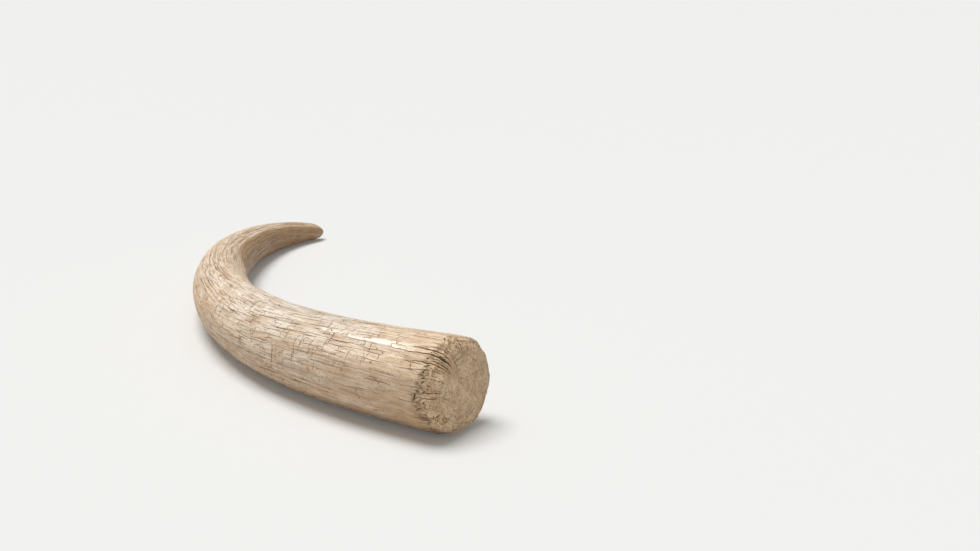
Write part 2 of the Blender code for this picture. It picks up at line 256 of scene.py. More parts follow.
@dataclass(frozen=True)
class ChippedRim:
    """The rim of the broken face, where flakes of the outer ivory have come away."""

    setback: Range = (0.009, 0.047)
    drop: Range = (0.0012, 0.0070)
    widest_at: float = math.radians(-108)
    spread: float = 0.75
    step_share: float = 0.20
    step_width: float = 0.0030
    jags: tuple[tuple[int, float, float], ...] = (
        (7, 0.0034, 0.4),
        (16, 0.0030, 2.1),
        (27, 0.0022, 4.4),
        (45, 0.0015, 0.9),
        (83, 0.0011, 3.0),
        (131, 0.0008, 5.2),
        (4, 0.0042, 1.3),
    )
    least_jags: float = 0.35
    least_roughness: float = 0.35
    least_shoulder: float = 0.12
    wear_depth: float = 0.0060
    wear_length: float = 0.065
    sharpest_at: float = math.radians(118)
    sharpness: int = 3
    shoulder: float = 0.0085
    shoulder_length: float = 0.028
    curl: float = 0.0085
    curl_length: float = 0.040
    curl_at: float = math.radians(-58)
    curl_sharpness: int = 3
    shoulder_lumps: tuple[Range, ...] = ((3.0, 0.50), (10.0, 0.45), (26.0, 0.25))
    lump_height: float = 0.0016
    lump_size: float = 0.013
    splinter_height: float = 0.0012
    splinter_size: Range = (0.013, 0.0034)
    grit_height: float = 0.0010
    grit_size: float = 0.0050
    fade_start: float = 0.010
    fade_length: float = 0.036

    def share(self, angle: Array) -> Array:
        """1 where the rim is most chipped, 0 on the other side of the tusk."""
        return lobe(angle, self.widest_at, self.spread)

    def sized(self, sizes: Range, angle: Array) -> Array:
        """A size between two, by how much the rim is chipped at an angle."""
        return between(sizes, self.share(angle))

    def jagged(self, angle: Array) -> Array:
        """The sum of waves round the rim, weaker where the rim is hardly chipped."""
        total = sum(height * np.sin(count * angle + phase) for count, height, phase in self.jags)
        return total * self.sized((self.least_jags, 1.0), angle)

    def skin_edge(self, angle: Array) -> Array:
        """Distance from the broken face to the jagged edge of the sound skin."""
        return np.maximum(self.sized(self.setback, angle) + self.jagged(angle), 2 * self.step_width)

    def worn(self, angle: Array) -> Array:
        """0 where the rim is still sharp, rising to 1 round the rest of it."""
        return 1 - lobe(angle, self.sharpest_at, self.sharpness)

    def band(self, along: Array, angle: Array) -> Array:
        """1 on the chipped band, 0 on the sound skin."""
        return smooth_step((self.skin_edge(angle) - along) / self.step_width)

    def bareness(self, along: Array, angle: Array) -> Array:
        """How far the outer skin's colour has gone: 0 on sound skin, 1 near the broken face."""
        return smooth_step((self.skin_edge(angle) + self.fade_start - along) / self.fade_length)

    def sunk(self, along: Array, angle: Array, radius: Array) -> Array:
        """How far the chipped rim lies below the skin.

        Args:
            along: distances from the broken face.
            angle: angles round the tusk.
            radius: the tusk's radius there.

        Returns:
            The depth at each point: a low ragged step, a slope to the face, wear and roughness.
        """
        foot = self.skin_edge(angle) - self.step_width
        step = self.step_share * np.clip(1 - (along - foot) / self.step_width, 0, 1)
        slope = (1 - self.step_share) * np.clip(1 - along / foot, 0, 1)
        wear = self.wear_depth * self.worn(angle) * np.clip(1 - along / self.wear_length, 0, 1) ** 2
        return self.sized(self.drop, angle) * (step + slope) + wear + self.roughness(along, angle, radius)

    def roughness(self, along: Array, angle: Array, radius: Array) -> Array:
        """Lumps, splinters along the grain and finer grit, on the chipped band alone.

        Args:
            along: distances from the broken face.
            angle: angles round the tusk.
            radius: the tusk's radius there.

        Returns:
            The depth at each point.
        """
        rough = np.zeros(len(along))
        near = np.flatnonzero(along < self.setback[1] + 0.02)
        ring = np.stack([radius * np.cos(angle), radius * np.sin(angle)], axis=-1)[near]
        places = np.column_stack([along[near], ring])
        splinters = np.column_stack([along[near] / self.splinter_size[0], ring / self.splinter_size[1]])
        height = self.lump_height * noise_at(places / self.lump_size)
        height += self.splinter_height * noise_at(splinters)
        height += self.grit_height * noise_at(places / self.grit_size)
        band = self.bareness(along[near], angle[near])
        rough[near] = height * self.sized((self.least_roughness, 1.0), angle[near]) * band
        return rough

    def pushed(self, along: Array, angle: Array) -> Array:
        """How far the rim is rounded back from the broken face's plane, in uneven lumps.

        Args:
            along: distances from the broken face.
            angle: angles round the tusk.

        Returns:
            The distance at each point.
        """
        places = np.stack([np.cos(angle), np.sin(angle), np.zeros(len(angle))], axis=-1)
        lumps = sum(height * noise_at(places * count) for count, height in self.shoulder_lumps)
        most = self.shoulder * between((self.least_shoulder, 1.0), self.worn(angle)) * (1 + lumps)
        curled = self.curl * lobe(angle, self.curl_at, self.curl_sharpness) * (1 + 0.5 * lumps)
        back = most * np.clip(1 - along / self.shoulder_length, 0, 1) ** 2
        return back + curled * np.clip(1 - along / self.curl_length, 0, 1) ** 2


@dataclass(frozen=True)
class Crack:
    """A crack drawn on a flat sheet: how deep and half as wide it is at each point of its path."""

    path: Array
    depth: Array
    half_width: Array
    stain: float
    darkening: float = 1.6

    @classmethod
    def drawn(
        cls,
        path: Array,
        depth: float,
        half_width: float,
        stain: float,
        tip_power: float = 0.6,
        opens: bool = False,
    ) -> "Crack":
        """A crack that runs out at both ends, or at its far end alone.

        Args:
            path: its points, one row each.
            depth: its greatest depth.
            half_width: half its greatest width.
            stain: how dark its bottom is, from 0 to 1.
            tip_power: below 1, it keeps its depth nearer its ends.
            opens: whether it is deepest at its first point, and not in its middle.

        Returns:
            The crack.
        """
        start = 0.5 if opens else 0.0
        swell = np.sin(math.pi * np.linspace(start, 1, len(path))) ** tip_power
        return cls(path, depth * swell, half_width * swell, stain)

    def lips(self) -> Iterator[Array]:
        """Its two edges, without the ends, which they share with its bottom.

        Returns:
            The points of one edge, then of the other.
        """
        run = np.gradient(self.path, axis=0)
        side = np.column_stack([-run[:, 1], run[:, 0]]) / np.hypot(run[:, 0], run[:, 1])[:, None]
        for sign in (1, -1):
            yield (self.path + sign * side * self.half_width[:, None])[1:-1]

    def worn(self, station: float, shiver: float, slim: Range, draw: Chance) -> "Crack":
        """The same crack with closer points, a slight shiver and a changing width.

        Args:
            station: the new distance between points.
            shiver: how far each point may stray.
            slim: the shares of its depth and of its width that it keeps.
            draw: the source of chance.

        Returns:
            The finer crack.
        """
        steps = np.hypot(*np.diff(self.path, axis=0).T)
        length = np.concatenate([[0.0], np.cumsum(steps)])
        place = spaced(0, length[-1], station, least=3)
        strays = draw.normal(0, shiver, (len(place), 2)) * np.array([0.5, 1.0])
        strays[[0, -1]] = 0
        path = np.column_stack([np.interp(place, length, self.path[:, axis]) for axis in (0, 1)]) + strays
        wear = draw.uniform(0.55, 1.1, len(place))
        depth, half_width = (np.interp(place, length, size) * wear for size in (self.depth, self.half_width))
        return Crack(path, depth * slim[0], half_width * slim[1], self.stain)

    def eased(self, share: float) -> "Crack":
        """The same crack with a share of its depth, width and stain left."""
        half_width = self.half_width * between((0.4, 1.0), share)
        return Crack(self.path, self.depth * share, half_width, self.stain * share)

    def at(self, points: Array) -> tuple[Array, Array]:
        """How deep and how stained the crack is.

        Args:
            points: points of the sheet, one row each.

        Returns:
            The depth and the stain at each point, 0 beyond the crack's lips.
        """
        run = np.diff(self.path, axis=0)
        offset = points[:, None, :] - self.path[:-1]
        share = np.clip((offset * run).sum(axis=2) / np.maximum((run**2).sum(axis=1), 1e-18), 0, 1)
        distance = np.linalg.norm(offset - share[..., None] * run, axis=2)
        nearest = distance.argmin(axis=1)
        rows = np.arange(len(points))
        share, distance = share[rows, nearest], distance[rows, nearest]
        depth, half_width = (
            size[nearest] * (1 - share) + size[nearest + 1] * share for size in (self.depth, self.half_width)
        )
        inside = np.clip(1 - distance / np.maximum(half_width, 10 * SAME_PLACE), 0, 1)
        deepest = max(self.depth.max(), 1e-9)
        return depth * inside, self.stain * inside * np.clip(depth / deepest * self.darkening, 0, 1)


@dataclass
class CrackedSheet:
    """A flat sheet that is cut into triangles along its cracks and other fixed lines."""

    squeeze: float = 1.0
    points: list[Place] = field(default_factory=list)
    lines: list[tuple[int, int]] = field(default_factory=list)
    cracks: list[Crack] = field(default_factory=list)

    def add(self, points: Array) -> list[int]:
        """Adds points.

        Args:
            points: points, one row each.

        Returns:
            Their numbers.
        """
        first = len(self.points)
        self.points += [(float(a), float(b)) for a, b in points]
        return list(range(first, len(self.points)))

    def add_line(self, points: Array) -> None:
        """Adds points and a fixed line through them."""
        self.join(self.add(points))

    def join(self, numbers: list[int]) -> None:
        """Fixes a line through points that are already there."""
        self.lines += list(zip(numbers, numbers[1:]))

    def add_crack(self, crack: Crack) -> None:
        """Adds a crack's bottom line and its two lips.

        Args:
            crack: the crack.
        """
        self.cracks.append(crack)
        bottom = self.add(crack.path)
        self.join(bottom)
        for lip in crack.lips():
            self.join([bottom[0], *self.add(lip), bottom[-1]])

    def fill(self, candidates: Array, clearance: float) -> None:
        """Adds those candidate points that no earlier point is close to.

        Args:
            candidates: points, one row each.
            clearance: the least distance to an earlier point.
        """
        tree = KDTree(len(self.points))
        for number, (first, second) in enumerate(self.points):
            tree.insert((first * self.squeeze, second, 0.0), number)
        tree.balance()
        places = [(first * self.squeeze, second, 0.0) for first, second in candidates]
        clear = [tree.find(place)[2] > clearance for place in places]
        self.add(candidates[np.array(clear)])

    def cut(self, border: list[int]) -> tuple[Array, Array]:
        """Cuts the sheet into triangles inside its border.

        Args:
            border: the numbers of the border's points, in order.

        Returns:
            The sheet's points and the corner numbers of its triangles, one row each.
        """
        flat = [Vector((first * self.squeeze, second)) for first, second in self.points]
        cut_to_lines = 1
        found = delaunay_2d_cdt(flat, self.lines, [border], cut_to_lines, 1e-7)
        points = np.array([(v.x / self.squeeze, v.y) for v in found[0]])
        return points, np.array([list(triangle) for triangle in found[2]])

    def relief(self, points: Array) -> tuple[Array, Array]:
        """How deep and how stained the cracks are. Where two meet, the deeper and the darker count.

        Args:
            points: points of the sheet, one row each.

        Returns:
            The depth and the stain at each point.
        """
        depth, stain = np.zeros(len(points)), np.zeros(len(points))
        order = np.argsort(points[:, 0])
        sorted_first = points[order, 0]
        for crack in self.cracks:
            reach = crack.half_width.max()
            low, high = crack.path.min(axis=0) - reach, crack.path.max(axis=0) + reach
            near = order[np.searchsorted(sorted_first, low[0]) : np.searchsorted(sorted_first, high[0])]
            near = near[(points[near, 1] > low[1]) & (points[near, 1] < high[1])]
            if len(near):
                here_depth, here_stain = crack.at(points[near])
                depth[near] = np.maximum(depth[near], here_depth)
                stain[near] = np.maximum(stain[near], here_stain)
        return depth, stain


def all_of(lanes: list[list[Crack]]) -> list[Crack]:
    """The cracks of every lane in one list."""
    return [one for lane in lanes for one in lane]


@dataclass(frozen=True, kw_only=True)
class CrackKind:
    """What each kind of crack in the skin has: the tusk, its range of sizes and how dark it is."""

    form: TuskForm
    depths: Range
    half_widths: Range
    stain: float
    last_angle: float = math.pi - math.radians(9)

    def path(self, along: Array, angle: Array) -> Array:
        """Points of the sheet at distances along the tusk and angles round it."""
        return np.column_stack([along, angle * self.form.radius(along)])

    def any_size(self, path: Array, draw: Chance) -> Crack:
        """A crack whose depth and width are drawn by chance."""
        depth, half_width = draw.uniform(*self.depths), draw.uniform(*self.half_widths)
        return Crack.drawn(path, depth, half_width, self.stain)


@dataclass(frozen=True, kw_only=True)
class CrackLanes(CrackKind):
    """Drying cracks that run with the grain and follow one another in lanes side by side round the tusk."""

    lanes: int
    jitter: float
    starts: Range
    half_end: float
    lengths: Range
    gaps: Range
    station: float
    wanders: tuple[Range, ...]

    def angles(self, draw: Chance) -> Array:
        """Where the lanes lie round the tusk."""
        places = np.arange(self.lanes) + 0.5 + draw.uniform(-self.jitter, self.jitter, self.lanes)
        return -self.last_angle + 2 * self.last_angle * places / self.lanes

    def crack(self, start: float, length: float, lane_angle: float, draw: Chance) -> Crack:
        """One crack of a lane.

        Args:
            start: its distance from the broken face.
            length: how long it is.
            lane_angle: where its lane lies round the tusk.
            draw: the source of chance.

        Returns:
            The crack, in distances along and round the tusk.
        """
        form = self.form
        along = start + spaced(0, length, self.station)
        phases = (lane_angle, *draw.uniform(0, FULL_TURN, len(self.wanders) - 1))
        waves = zip(self.wanders, phases)
        wander = sum(height * np.sin(along * count + phase) for (count, height), phase in waves)
        angle = np.clip(lane_angle + wander / form.base_radius, -self.last_angle, self.last_angle)
        slimmer = float(form.radius(start)) / form.base_radius
        depth = draw.uniform(*self.depths) * slimmer
        half_width = draw.uniform(*self.half_widths) * math.sqrt(slimmer)
        return Crack.drawn(self.path(along, angle), depth, half_width, self.stain)

    def drawn(self, draw: Chance) -> list[list[Crack]]:
        """Draws the lanes, each a list of its cracks.

        Args:
            draw: the source of chance.

        Returns:
            The cracks.
        """
        lanes = []
        for number, angle in enumerate(self.angles(draw)):
            lane = []
            start = draw.uniform(*self.starts)
            last = self.form.axis_length - 2 * self.form.tip_rounding if number % 2 else self.half_end
            while start < last - self.lengths[0]:
                length = min(draw.uniform(*self.lengths), last - start)
                lane.append(self.crack(start, length, angle, draw))
                start += length + draw.uniform(*self.gaps)
            lanes.append(lane)
        return lanes


@dataclass(frozen=True, kw_only=True)
class CrossChecks(CrackKind):
    """Short checks across the grain from one long crack to its neighbour, densest on the thick half."""

    count: int
    tries: int
    starts_at: float
    reach: float
    spacing: float
    station: float
    roughness: float
    slant: float
    bow: float = 0.0
    nearer: Range = (0.6, 1.0)

    def lane_at(self, lane: list[Crack], place: float) -> float | None:
        """Where round the tusk a lane's crack is, or None beyond their ends.

        Args:
            lane: the lane's cracks.
            place: distance from the broken face.

        Returns:
            The distance round the tusk, or None.
        """
        for one in lane:
            if one.path[0, 0] + self.station < place < one.path[-1, 0] - self.station:
                return float(np.interp(place, one.path[:, 0], one.path[:, 1]))
        return None

    def drawn(self, lanes: list[list[Crack]], draw: Chance) -> list[Crack]:
        """The checks between these lanes.

        Args:
            lanes: the long cracks, one list for each lane.
            draw: the source of chance.

        Returns:
            The checks.
        """
        cracks: list[Crack] = []
        taken: list[list[float]] = [[] for _ in lanes]
        for _ in range(self.tries):
            if len(cracks) == self.count:
                break
            place = draw.uniform(self.starts_at, self.reach) * draw.uniform(*self.nearer)
            number = int(draw.integers(len(lanes) - 1))
            low, high = (self.lane_at(lanes[lane], place) for lane in (number, number + 1))
            crowded = any(abs(place - old) < self.spacing for old in taken[number])
            if low is None or high is None or crowded:
                continue
            taken[number].append(place)
            share = np.linspace(0, 1, max(4, round((high - low) / self.station) + 1))
            along = place + draw.normal(0, self.roughness, len(share))
            along += draw.uniform(-self.slant, self.slant) * share
            if self.bow:
                along += draw.uniform(-self.bow, self.bow) * np.sin(math.pi * share)
            cracks.append(self.any_size(np.column_stack([along, low + (high - low) * share]), draw))
        return cracks


@dataclass(frozen=True, kw_only=True)
class RimSplits(CrackKind):
    """Splits that open at the broken face and make its rim ragged, deepest where the rim is most chipped."""

    rim: ChippedRim
    count: int = 26
    jitter: float = 0.07
    station: float = 0.012
    reaches: Range = (0.016, 0.068)
    depths: Range = (0.0018, 0.0070)
    half_widths: Range = (0.0011, 0.0027)
    reach_shares: Range = (0.55, 1.2)
    depth_shares: Range = (0.5, 1.2)
    width_shares: Range = (0.6, 1.2)
    slant: float = 1.1
    roughness: float = 0.006
    stain: float = 0.70

    def drawn(self, draw: Chance) -> list[Crack]:
        """Draws the splits, from beyond the broken face into the skin.

        Args:
            draw: the source of chance.

        Returns:
            The splits.
        """
        cracks = []
        for number in range(self.count):
            angle = FULL_TURN * (number + 0.5) / self.count - math.pi
            angle = angle + draw.uniform(-self.jitter, self.jitter)
            if abs(angle) > self.last_angle:
                continue
            reach = float(self.rim.sized(self.reaches, angle)) * draw.uniform(*self.reach_shares)
            along = np.arange(-reach, reach, self.station)
            turned = angle + draw.uniform(-self.slant, self.slant) * along
            turned += draw.normal(0, self.roughness, len(along))
            depth = float(self.rim.sized(self.depths, angle)) * draw.uniform(*self.depth_shares)
            half_width = float(self.rim.sized(self.half_widths, angle)) * draw.uniform(*self.width_shares)
            cracks.append(Crack.drawn(self.path(along, turned), depth, half_width, self.stain))
        return cracks


@dataclass(frozen=True, kw_only=True)
class CurlingSplits(CrackKind):
    """Close splits along the grain that curl over the upper side of the rim and open at the broken face."""

    count: int = 20
    jitter: Range = (-0.3, 1.3)
    middle: float = math.radians(-36)
    spread: float = math.radians(38)
    station: float = 0.0060
    reaches: Range = (0.020, 0.110)
    depths: Range = (0.0010, 0.0042)
    half_widths: Range = (0.0006, 0.0019)
    slant: float = 0.8
    roughness: float = 0.006
    stain: float = 0.80

    def drawn(self, draw: Chance) -> list[Crack]:
        """Draws the splits, from beyond the broken face into the skin.

        Args:
            draw: the source of chance.

        Returns:
            The splits.
        """
        cracks = []
        for number in range(self.count):
            place = 2 * (number + draw.uniform(*self.jitter)) / self.count - 1
            angle = self.middle + self.spread * (0.6 * place + 1.5 * place**3)
            angle = min(max(angle, -self.last_angle), self.last_angle)
            reach = draw.uniform(*self.reaches)
            along = np.linspace(-reach, reach, 2 * round(reach / self.station) + 1)
            turned = angle + draw.uniform(-self.slant, self.slant) * along
            turned += draw.normal(0, self.roughness, len(along))
            size = draw.uniform()
            depth, half_width = between(self.depths, size), between(self.half_widths, size)
            stain = self.stain * between((0.75, 1.0), size)
            cracks.append(Crack.drawn(self.path(along, turned), depth, half_width, stain))
        return cracks


@dataclass(frozen=True, kw_only=True)
class HookedChecks(CrackKind):
    """Checks that cross the grain in a bow and turn along it at their ends."""

    count: int = 40
    alongs: Range = (0.15, 1.05)
    angles: Range = (math.radians(-105), math.radians(15))
    heights: Range = (0.008, 0.022)
    bows: Range = (0.10, 0.45)
    arms: Range = (0.002, 0.018)
    arm_lean: float = 0.2
    shiver: float = 0.0005
    depths: Range = (0.0014, 0.0026)
    half_widths: Range = (0.0006, 0.0011)
    stain: float = 0.95

    def drawn(self, draw: Chance) -> list[Crack]:
        """Draws the checks.

        Args:
            draw: the source of chance.

        Returns:
            The checks.
        """
        cracks = []
        for _ in range(self.count):
            along, angle = draw.uniform(*self.alongs), draw.uniform(*self.angles)
            across = angle * float(self.form.radius(along))
            height, way = draw.uniform(*self.heights), draw.choice((-1, 1))
            share = np.linspace(0, 1, 7)
            bow = way * draw.uniform(*self.bows) * height * 4 * share * (1 - share)
            curve = np.column_stack([along + bow, across + height * (share - 0.5)])
            arms = way * draw.uniform(*self.arms, 2)
            leans = draw.uniform(-self.arm_lean, self.arm_lean, 2) * np.abs(arms)
            ends = curve[[0, -1]] - np.column_stack([arms, leans])
            path = np.concatenate([ends[:1], curve, ends[1:]])
            path[1:-1] += draw.normal(0, self.shiver, (len(curve), 2))
            cracks.append(self.any_size(path, draw))
        return cracks


@dataclass(frozen=True, kw_only=True)
class EdgeNotches(CrackKind):
    """Short notches where the sound skin's edge has broken away along the grain."""

    rim: ChippedRim
    count: int = 22
    jitter: Range = (-0.3, 1.3)
    least_chance: float = 0.35
    station: float = 0.0035
    below: Range = (0.002, 0.018)
    above: Range = (0.002, 0.020)
    depths: Range = (0.0009, 0.0030)
    half_widths: Range = (0.0005, 0.0013)
    slant: float = 6.0
    roughness: float = 0.004
    stain: float = 0.75

    def drawn(self, draw: Chance) -> list[Crack]:
        """Draws the notches, from the chipped band into the skin.

        Args:
            draw: the source of chance.

        Returns:
            The notches.
        """
        cracks = []
        for number in range(self.count):
            angle = FULL_TURN * (number + draw.uniform(*self.jitter)) / self.count - math.pi
            share = float(self.rim.share(angle))
            if abs(angle) > self.last_angle or draw.uniform() > self.least_chance + share:
                continue
            edge = float(self.rim.skin_edge(np.array(angle)))
            low = max(0.002, edge - draw.uniform(*self.below))
            high = edge + draw.uniform(*self.above) * between((0.4, 1.0), share)
            along = spaced(low, high, self.station)
            turned = angle + draw.uniform(-self.slant, self.slant) * (along - edge)
            turned += draw.normal(0, self.roughness, len(along))
            depth = draw.uniform(*self.depths) * between((0.5, 1.0), share)
            half_width = draw.uniform(*self.half_widths)
            cracks.append(Crack.drawn(self.path(along, turned), depth, half_width, self.stain))
        return cracks


@dataclass(frozen=True, kw_only=True)
class Pits(CrackKind):
    """Small dark pits and nicks in the skin, each a short mark that lies any way."""

    count: int
    alongs: Range
    angles: Range
    lengths: Range = (0.0025, 0.0075)
    depths: Range = (0.0012, 0.0028)
    half_widths: Range = (0.0006, 0.0012)
    turn: float = 1.5
    shiver_share: float = 0.06
    stain: float = 1.0

    def drawn(self, draw: Chance) -> list[Crack]:
        """Draws the pits.

        Args:
            draw: the source of chance.

        Returns:
            The pits.
        """
        cracks = []
        for _ in range(self.count):
            along, angle = draw.uniform(*self.alongs), draw.uniform(*self.angles)
            across = angle * float(self.form.radius(along))
            way, length = draw.uniform(-self.turn, self.turn), draw.uniform(*self.lengths)
            steps = np.linspace(-0.5, 0.5, 5) * length
            path = np.column_stack([along + steps * math.cos(way), across + steps * math.sin(way)])
            path[1:-1] += draw.normal(0, self.shiver_share * length, (3, 2))
            cracks.append(self.any_size(path, draw))
        return cracks


@dataclass
class TuskSkin:
    """The whole outside of the tusk, from the rim of the broken face over the tip."""

    form: TuskForm
    rim: ChippedRim
    crack_seed: int = 11
    fine_seed: int = 23
    squeeze: float = 0.55
    border_step: float = 0.012
    rim_step: float = 0.0024
    tip_rows: int = 12
    row_step: float = 0.0085
    column_step: float = 0.0060
    band_step: float = 0.0024
    rim_pit_count: int = 60
    last_angle: float = math.pi - math.radians(12)
    slims: tuple[Range, ...] = ((0.46, 0.46), (0.75, 0.74), (0.42, 0.42))
    broad_station: float = 0.0055
    broad_shiver: float = 0.0005
    calm_easing: float = 0.55
    calm_thinning: float = 0.60
    band_clearance: float = 0.45
    body_clearance: float = 0.42
    tip_clearance: float = 0.2
    calm_reach: float = 0.38
    calm_fade: float = 0.16
    calm_above: float = math.radians(-48)
    calm_fade_angle: float = math.radians(22)
    ripple_height: float = 0.00025
    ripple_size: Range = (0.060, 0.0085)
    flake_height: float = 0.0021
    flake_size: Range = (0.022, 0.0075)
    flakes_below: float = math.radians(72)
    flakes_fade: float = math.radians(40)

    def calm(self, crack: Crack) -> float:
        """How smooth the skin is where a crack lies: 1 low on the front near the broken face, 0 elsewhere.

        Args:
            crack: the crack.

        Returns:
            A share from 0 to 1.
        """
        along, across = crack.path.mean(axis=0)
        angle = across / float(self.form.radius(along))
        near = (self.calm_reach - along) / self.calm_fade
        low = (self.calm_above - angle) / self.calm_fade_angle
        return float(smooth_step(np.array(near)) * smooth_step(np.array(low)))

    def broad_cracks(self) -> list[Crack]:
        """The drying cracks that the solid has too, finer than there.

        Returns:
            The long cracks, the checks between them and the splits of the rim.
        """
        lanes = CrackLanes(
            form=self.form, lanes=15, jitter=0.16, starts=(0.05, 0.16), half_end=1.25,
            lengths=(0.15, 0.40), gaps=(0.012, 0.050), station=0.030, depths=(0.0022, 0.0046),
            half_widths=(0.0012, 0.0021), wanders=((9, 0.0050), (37, 0.0022), (90, 0.0012)), stain=0.85,
        )
        checks = CrossChecks(
            form=self.form, count=115, tries=5400, starts_at=0.10, reach=1.45, spacing=0.022,
            station=0.011, depths=(0.0015, 0.0028), half_widths=(0.0009, 0.0014), roughness=0.0022,
            slant=0.010, stain=0.90,
        )
        draw = np.random.default_rng(self.crack_seed)
        drawn = lanes.drawn(draw)
        kinds = [all_of(drawn), checks.drawn(drawn, draw)]
        kinds.append(RimSplits(form=self.form, rim=self.rim).drawn(draw))
        draw = np.random.default_rng(self.fine_seed)
        worn: list[Crack] = []
        for kind, slim in zip(kinds, self.slims):
            worn += [one.worn(self.broad_station, self.broad_shiver, slim, draw) for one in kind]
        return [one.eased(1 - self.calm_easing * self.calm(one)) for one in worn]

    def fine_cracks(self, draw: Chance) -> list[Crack]:
        """The fine cracks and checks between the broad ones, fewer where the skin is smooth.

        Args:
            draw: the source of chance.

        Returns:
            The cracks.
        """
        lanes = CrackLanes(
            form=self.form, lanes=58, jitter=0.36, starts=(0.02, 0.12), half_end=1.10,
            lengths=(0.022, 0.11), gaps=(0.008, 0.050), station=0.009, depths=(0.0008, 0.0017),
            half_widths=(0.0006, 0.0011), wanders=((9, 0.0050), (55, 0.0010), (150, 0.0005)),
            stain=0.75,
        )
        checks = CrossChecks(
            form=self.form, count=820, tries=26000, starts_at=0.09, reach=1.45, spacing=0.013,
            station=0.0045, depths=(0.0008, 0.0018), half_widths=(0.0006, 0.0012), roughness=0.0009,
            slant=0.004, stain=0.85, bow=0.005,
        )
        bend_lines = CrackLanes(
            form=self.form, lanes=34, jitter=0.42, starts=(0.78, 1.00), half_end=1.70,
            lengths=(0.10, 0.34), gaps=(0.006, 0.024), station=0.014, depths=(0.0011, 0.0024),
            half_widths=(0.0008, 0.0014), wanders=((9, 0.0050), (30, 0.0015), (110, 0.0006)),
            stain=0.75,
        )
        drawn = lanes.drawn(draw)
        found = all_of(drawn) + checks.drawn(drawn, draw)
        kept = [one for one in found if draw.uniform() > self.calm_thinning * self.calm(one)]
        return kept + all_of(bend_lines.drawn(draw))

    def cracks(self) -> list[Crack]:
        """Every crack of the skin: the broad ones first, then the fine ones between them, then the marks.

        Returns:
            The cracks, in the order in which chance draws them.
        """
        form = self.form
        draw = np.random.default_rng(self.fine_seed + 1)
        found = self.broad_cracks() + self.fine_cracks(draw)
        for kind in (HookedChecks(form=form), CurlingSplits(form=form), EdgeNotches(form=form, rim=self.rim)):
            found += kind.drawn(draw)
        for kind in (self.pits(), self.front_pits(), self.tip_marks(), self.slots()):
            found += kind.drawn(draw)
        found += self.rim_pits(draw)
        return found + self.long_checks().drawn(draw) + self.low_splits().drawn(draw)

    def pits(self) -> Pits:
        """Small pits all over the skin.

        Returns:
            The pits.
        """
        end = self.form.axis_length - self.form.tip_rounding - 0.10
        angles = (-self.last_angle, self.last_angle)
        return Pits(form=self.form, count=170, alongs=(0.08, end), angles=angles)

    def front_pits(self) -> Pits:
        """More small pits on the tusk's front."""
        angles = (math.radians(-120), math.radians(-50))
        return Pits(form=self.form, count=90, alongs=(0.25, 1.10), angles=angles)

    def long_checks(self) -> HookedChecks:
        """Long checks across the grain on the middle of the tusk's front."""
        return HookedChecks(
            form=self.form, count=18, alongs=(0.28, 1.08), angles=(math.radians(-85), math.radians(0)),
            heights=(0.024, 0.046), bows=(0.03, 0.14), arms=(0.001, 0.010), depths=(0.0018, 0.0032),
            half_widths=(0.0007, 0.0013),
        )

    def low_splits(self) -> Pits:
        """Dark splits along the grain low on the tusk's front."""
        return Pits(
            form=self.form, count=34, alongs=(0.10, 1.05),
            angles=(math.radians(-158), math.radians(-112)), lengths=(0.016, 0.048),
            depths=(0.0020, 0.0042), half_widths=(0.0007, 0.0015), turn=0.16,
        )

    def tip_marks(self) -> Pits:
        """Dark marks on the last part of the tip."""
        tip = self.form.axis_length - self.form.tip_rounding
        return Pits(
            form=self.form, count=44, alongs=(tip - 0.16, tip - 0.006),
            angles=(-self.last_angle, self.last_angle), lengths=(0.005, 0.014), depths=(0.0014, 0.0030),
            half_widths=(0.0008, 0.0017), turn=1.2,
        )

    def slots(self) -> Pits:
        """A few long dark slots across the front of the chipped rim."""
        return Pits(
            form=self.form, count=9, alongs=(0.010, 0.052),
            angles=(math.radians(-150), math.radians(-62)), lengths=(0.012, 0.026),
            depths=(0.0030, 0.0055), half_widths=(0.0010, 0.0018), turn=1.2,
        )

    def rim_pits(self, draw: Chance) -> list[Crack]:
        """Deeper pits where the skin ends, most of them where the rim is most chipped.

        Args:
            draw: the source of chance.

        Returns:
            The pits.
        """
        found = []
        for _ in range(self.rim_pit_count):
            angle = self.rim.widest_at + draw.normal(0, 1.2)
            if abs(angle) < self.last_angle:
                edge = float(self.rim.skin_edge(np.array(angle)))
                pit = Pits(
                    form=self.form, count=1, alongs=(0.1 * edge, edge + 0.006), angles=(angle, angle),
                    lengths=(0.004, 0.013), depths=(0.0025, 0.0060), half_widths=(0.0008, 0.0024),
                )
                found += pit.drawn(draw)
        return found

    def rows(self) -> Array:
        """Distances along the tusk of the points on the sheet's two long edges.

        Returns:
            The distances, from the broken face to the tip.
        """
        tip_start = self.form.axis_length - self.form.tip_rounding
        edge = float(self.rim.skin_edge(np.array(math.pi)))
        sound = np.linspace(edge, tip_start, round((tip_start - edge) / self.border_step) + 1)
        turns = np.linspace(0, math.pi / 2, self.tip_rows + 1)[1:]
        tip = tip_start + self.form.tip_rounding * np.sin(turns)
        return np.concatenate([np.linspace(0.0, edge - self.rim.step_width, 4), sound, tip])

    def add_outline(self, sheet: CrackedSheet) -> list[int]:
        """Adds the sheet's border: the rim, a long edge, the tip's point as an edge, the other long edge.

        Args:
            sheet: the sheet.

        Returns:
            The numbers of the border's points, in order.
        """
        rows = self.rows()
        half = math.pi * self.form.radius(rows)
        rim = np.linspace(-half[0], half[0], round(2 * half[0] / self.rim_step) + 1)
        border = sheet.add(np.column_stack([np.zeros(len(rim)), rim]))
        border += sheet.add(np.column_stack([rows[1:], half[1:]]))
        border += sheet.add(np.column_stack([rows[:0:-1], -half[:0:-1]]))
        return border

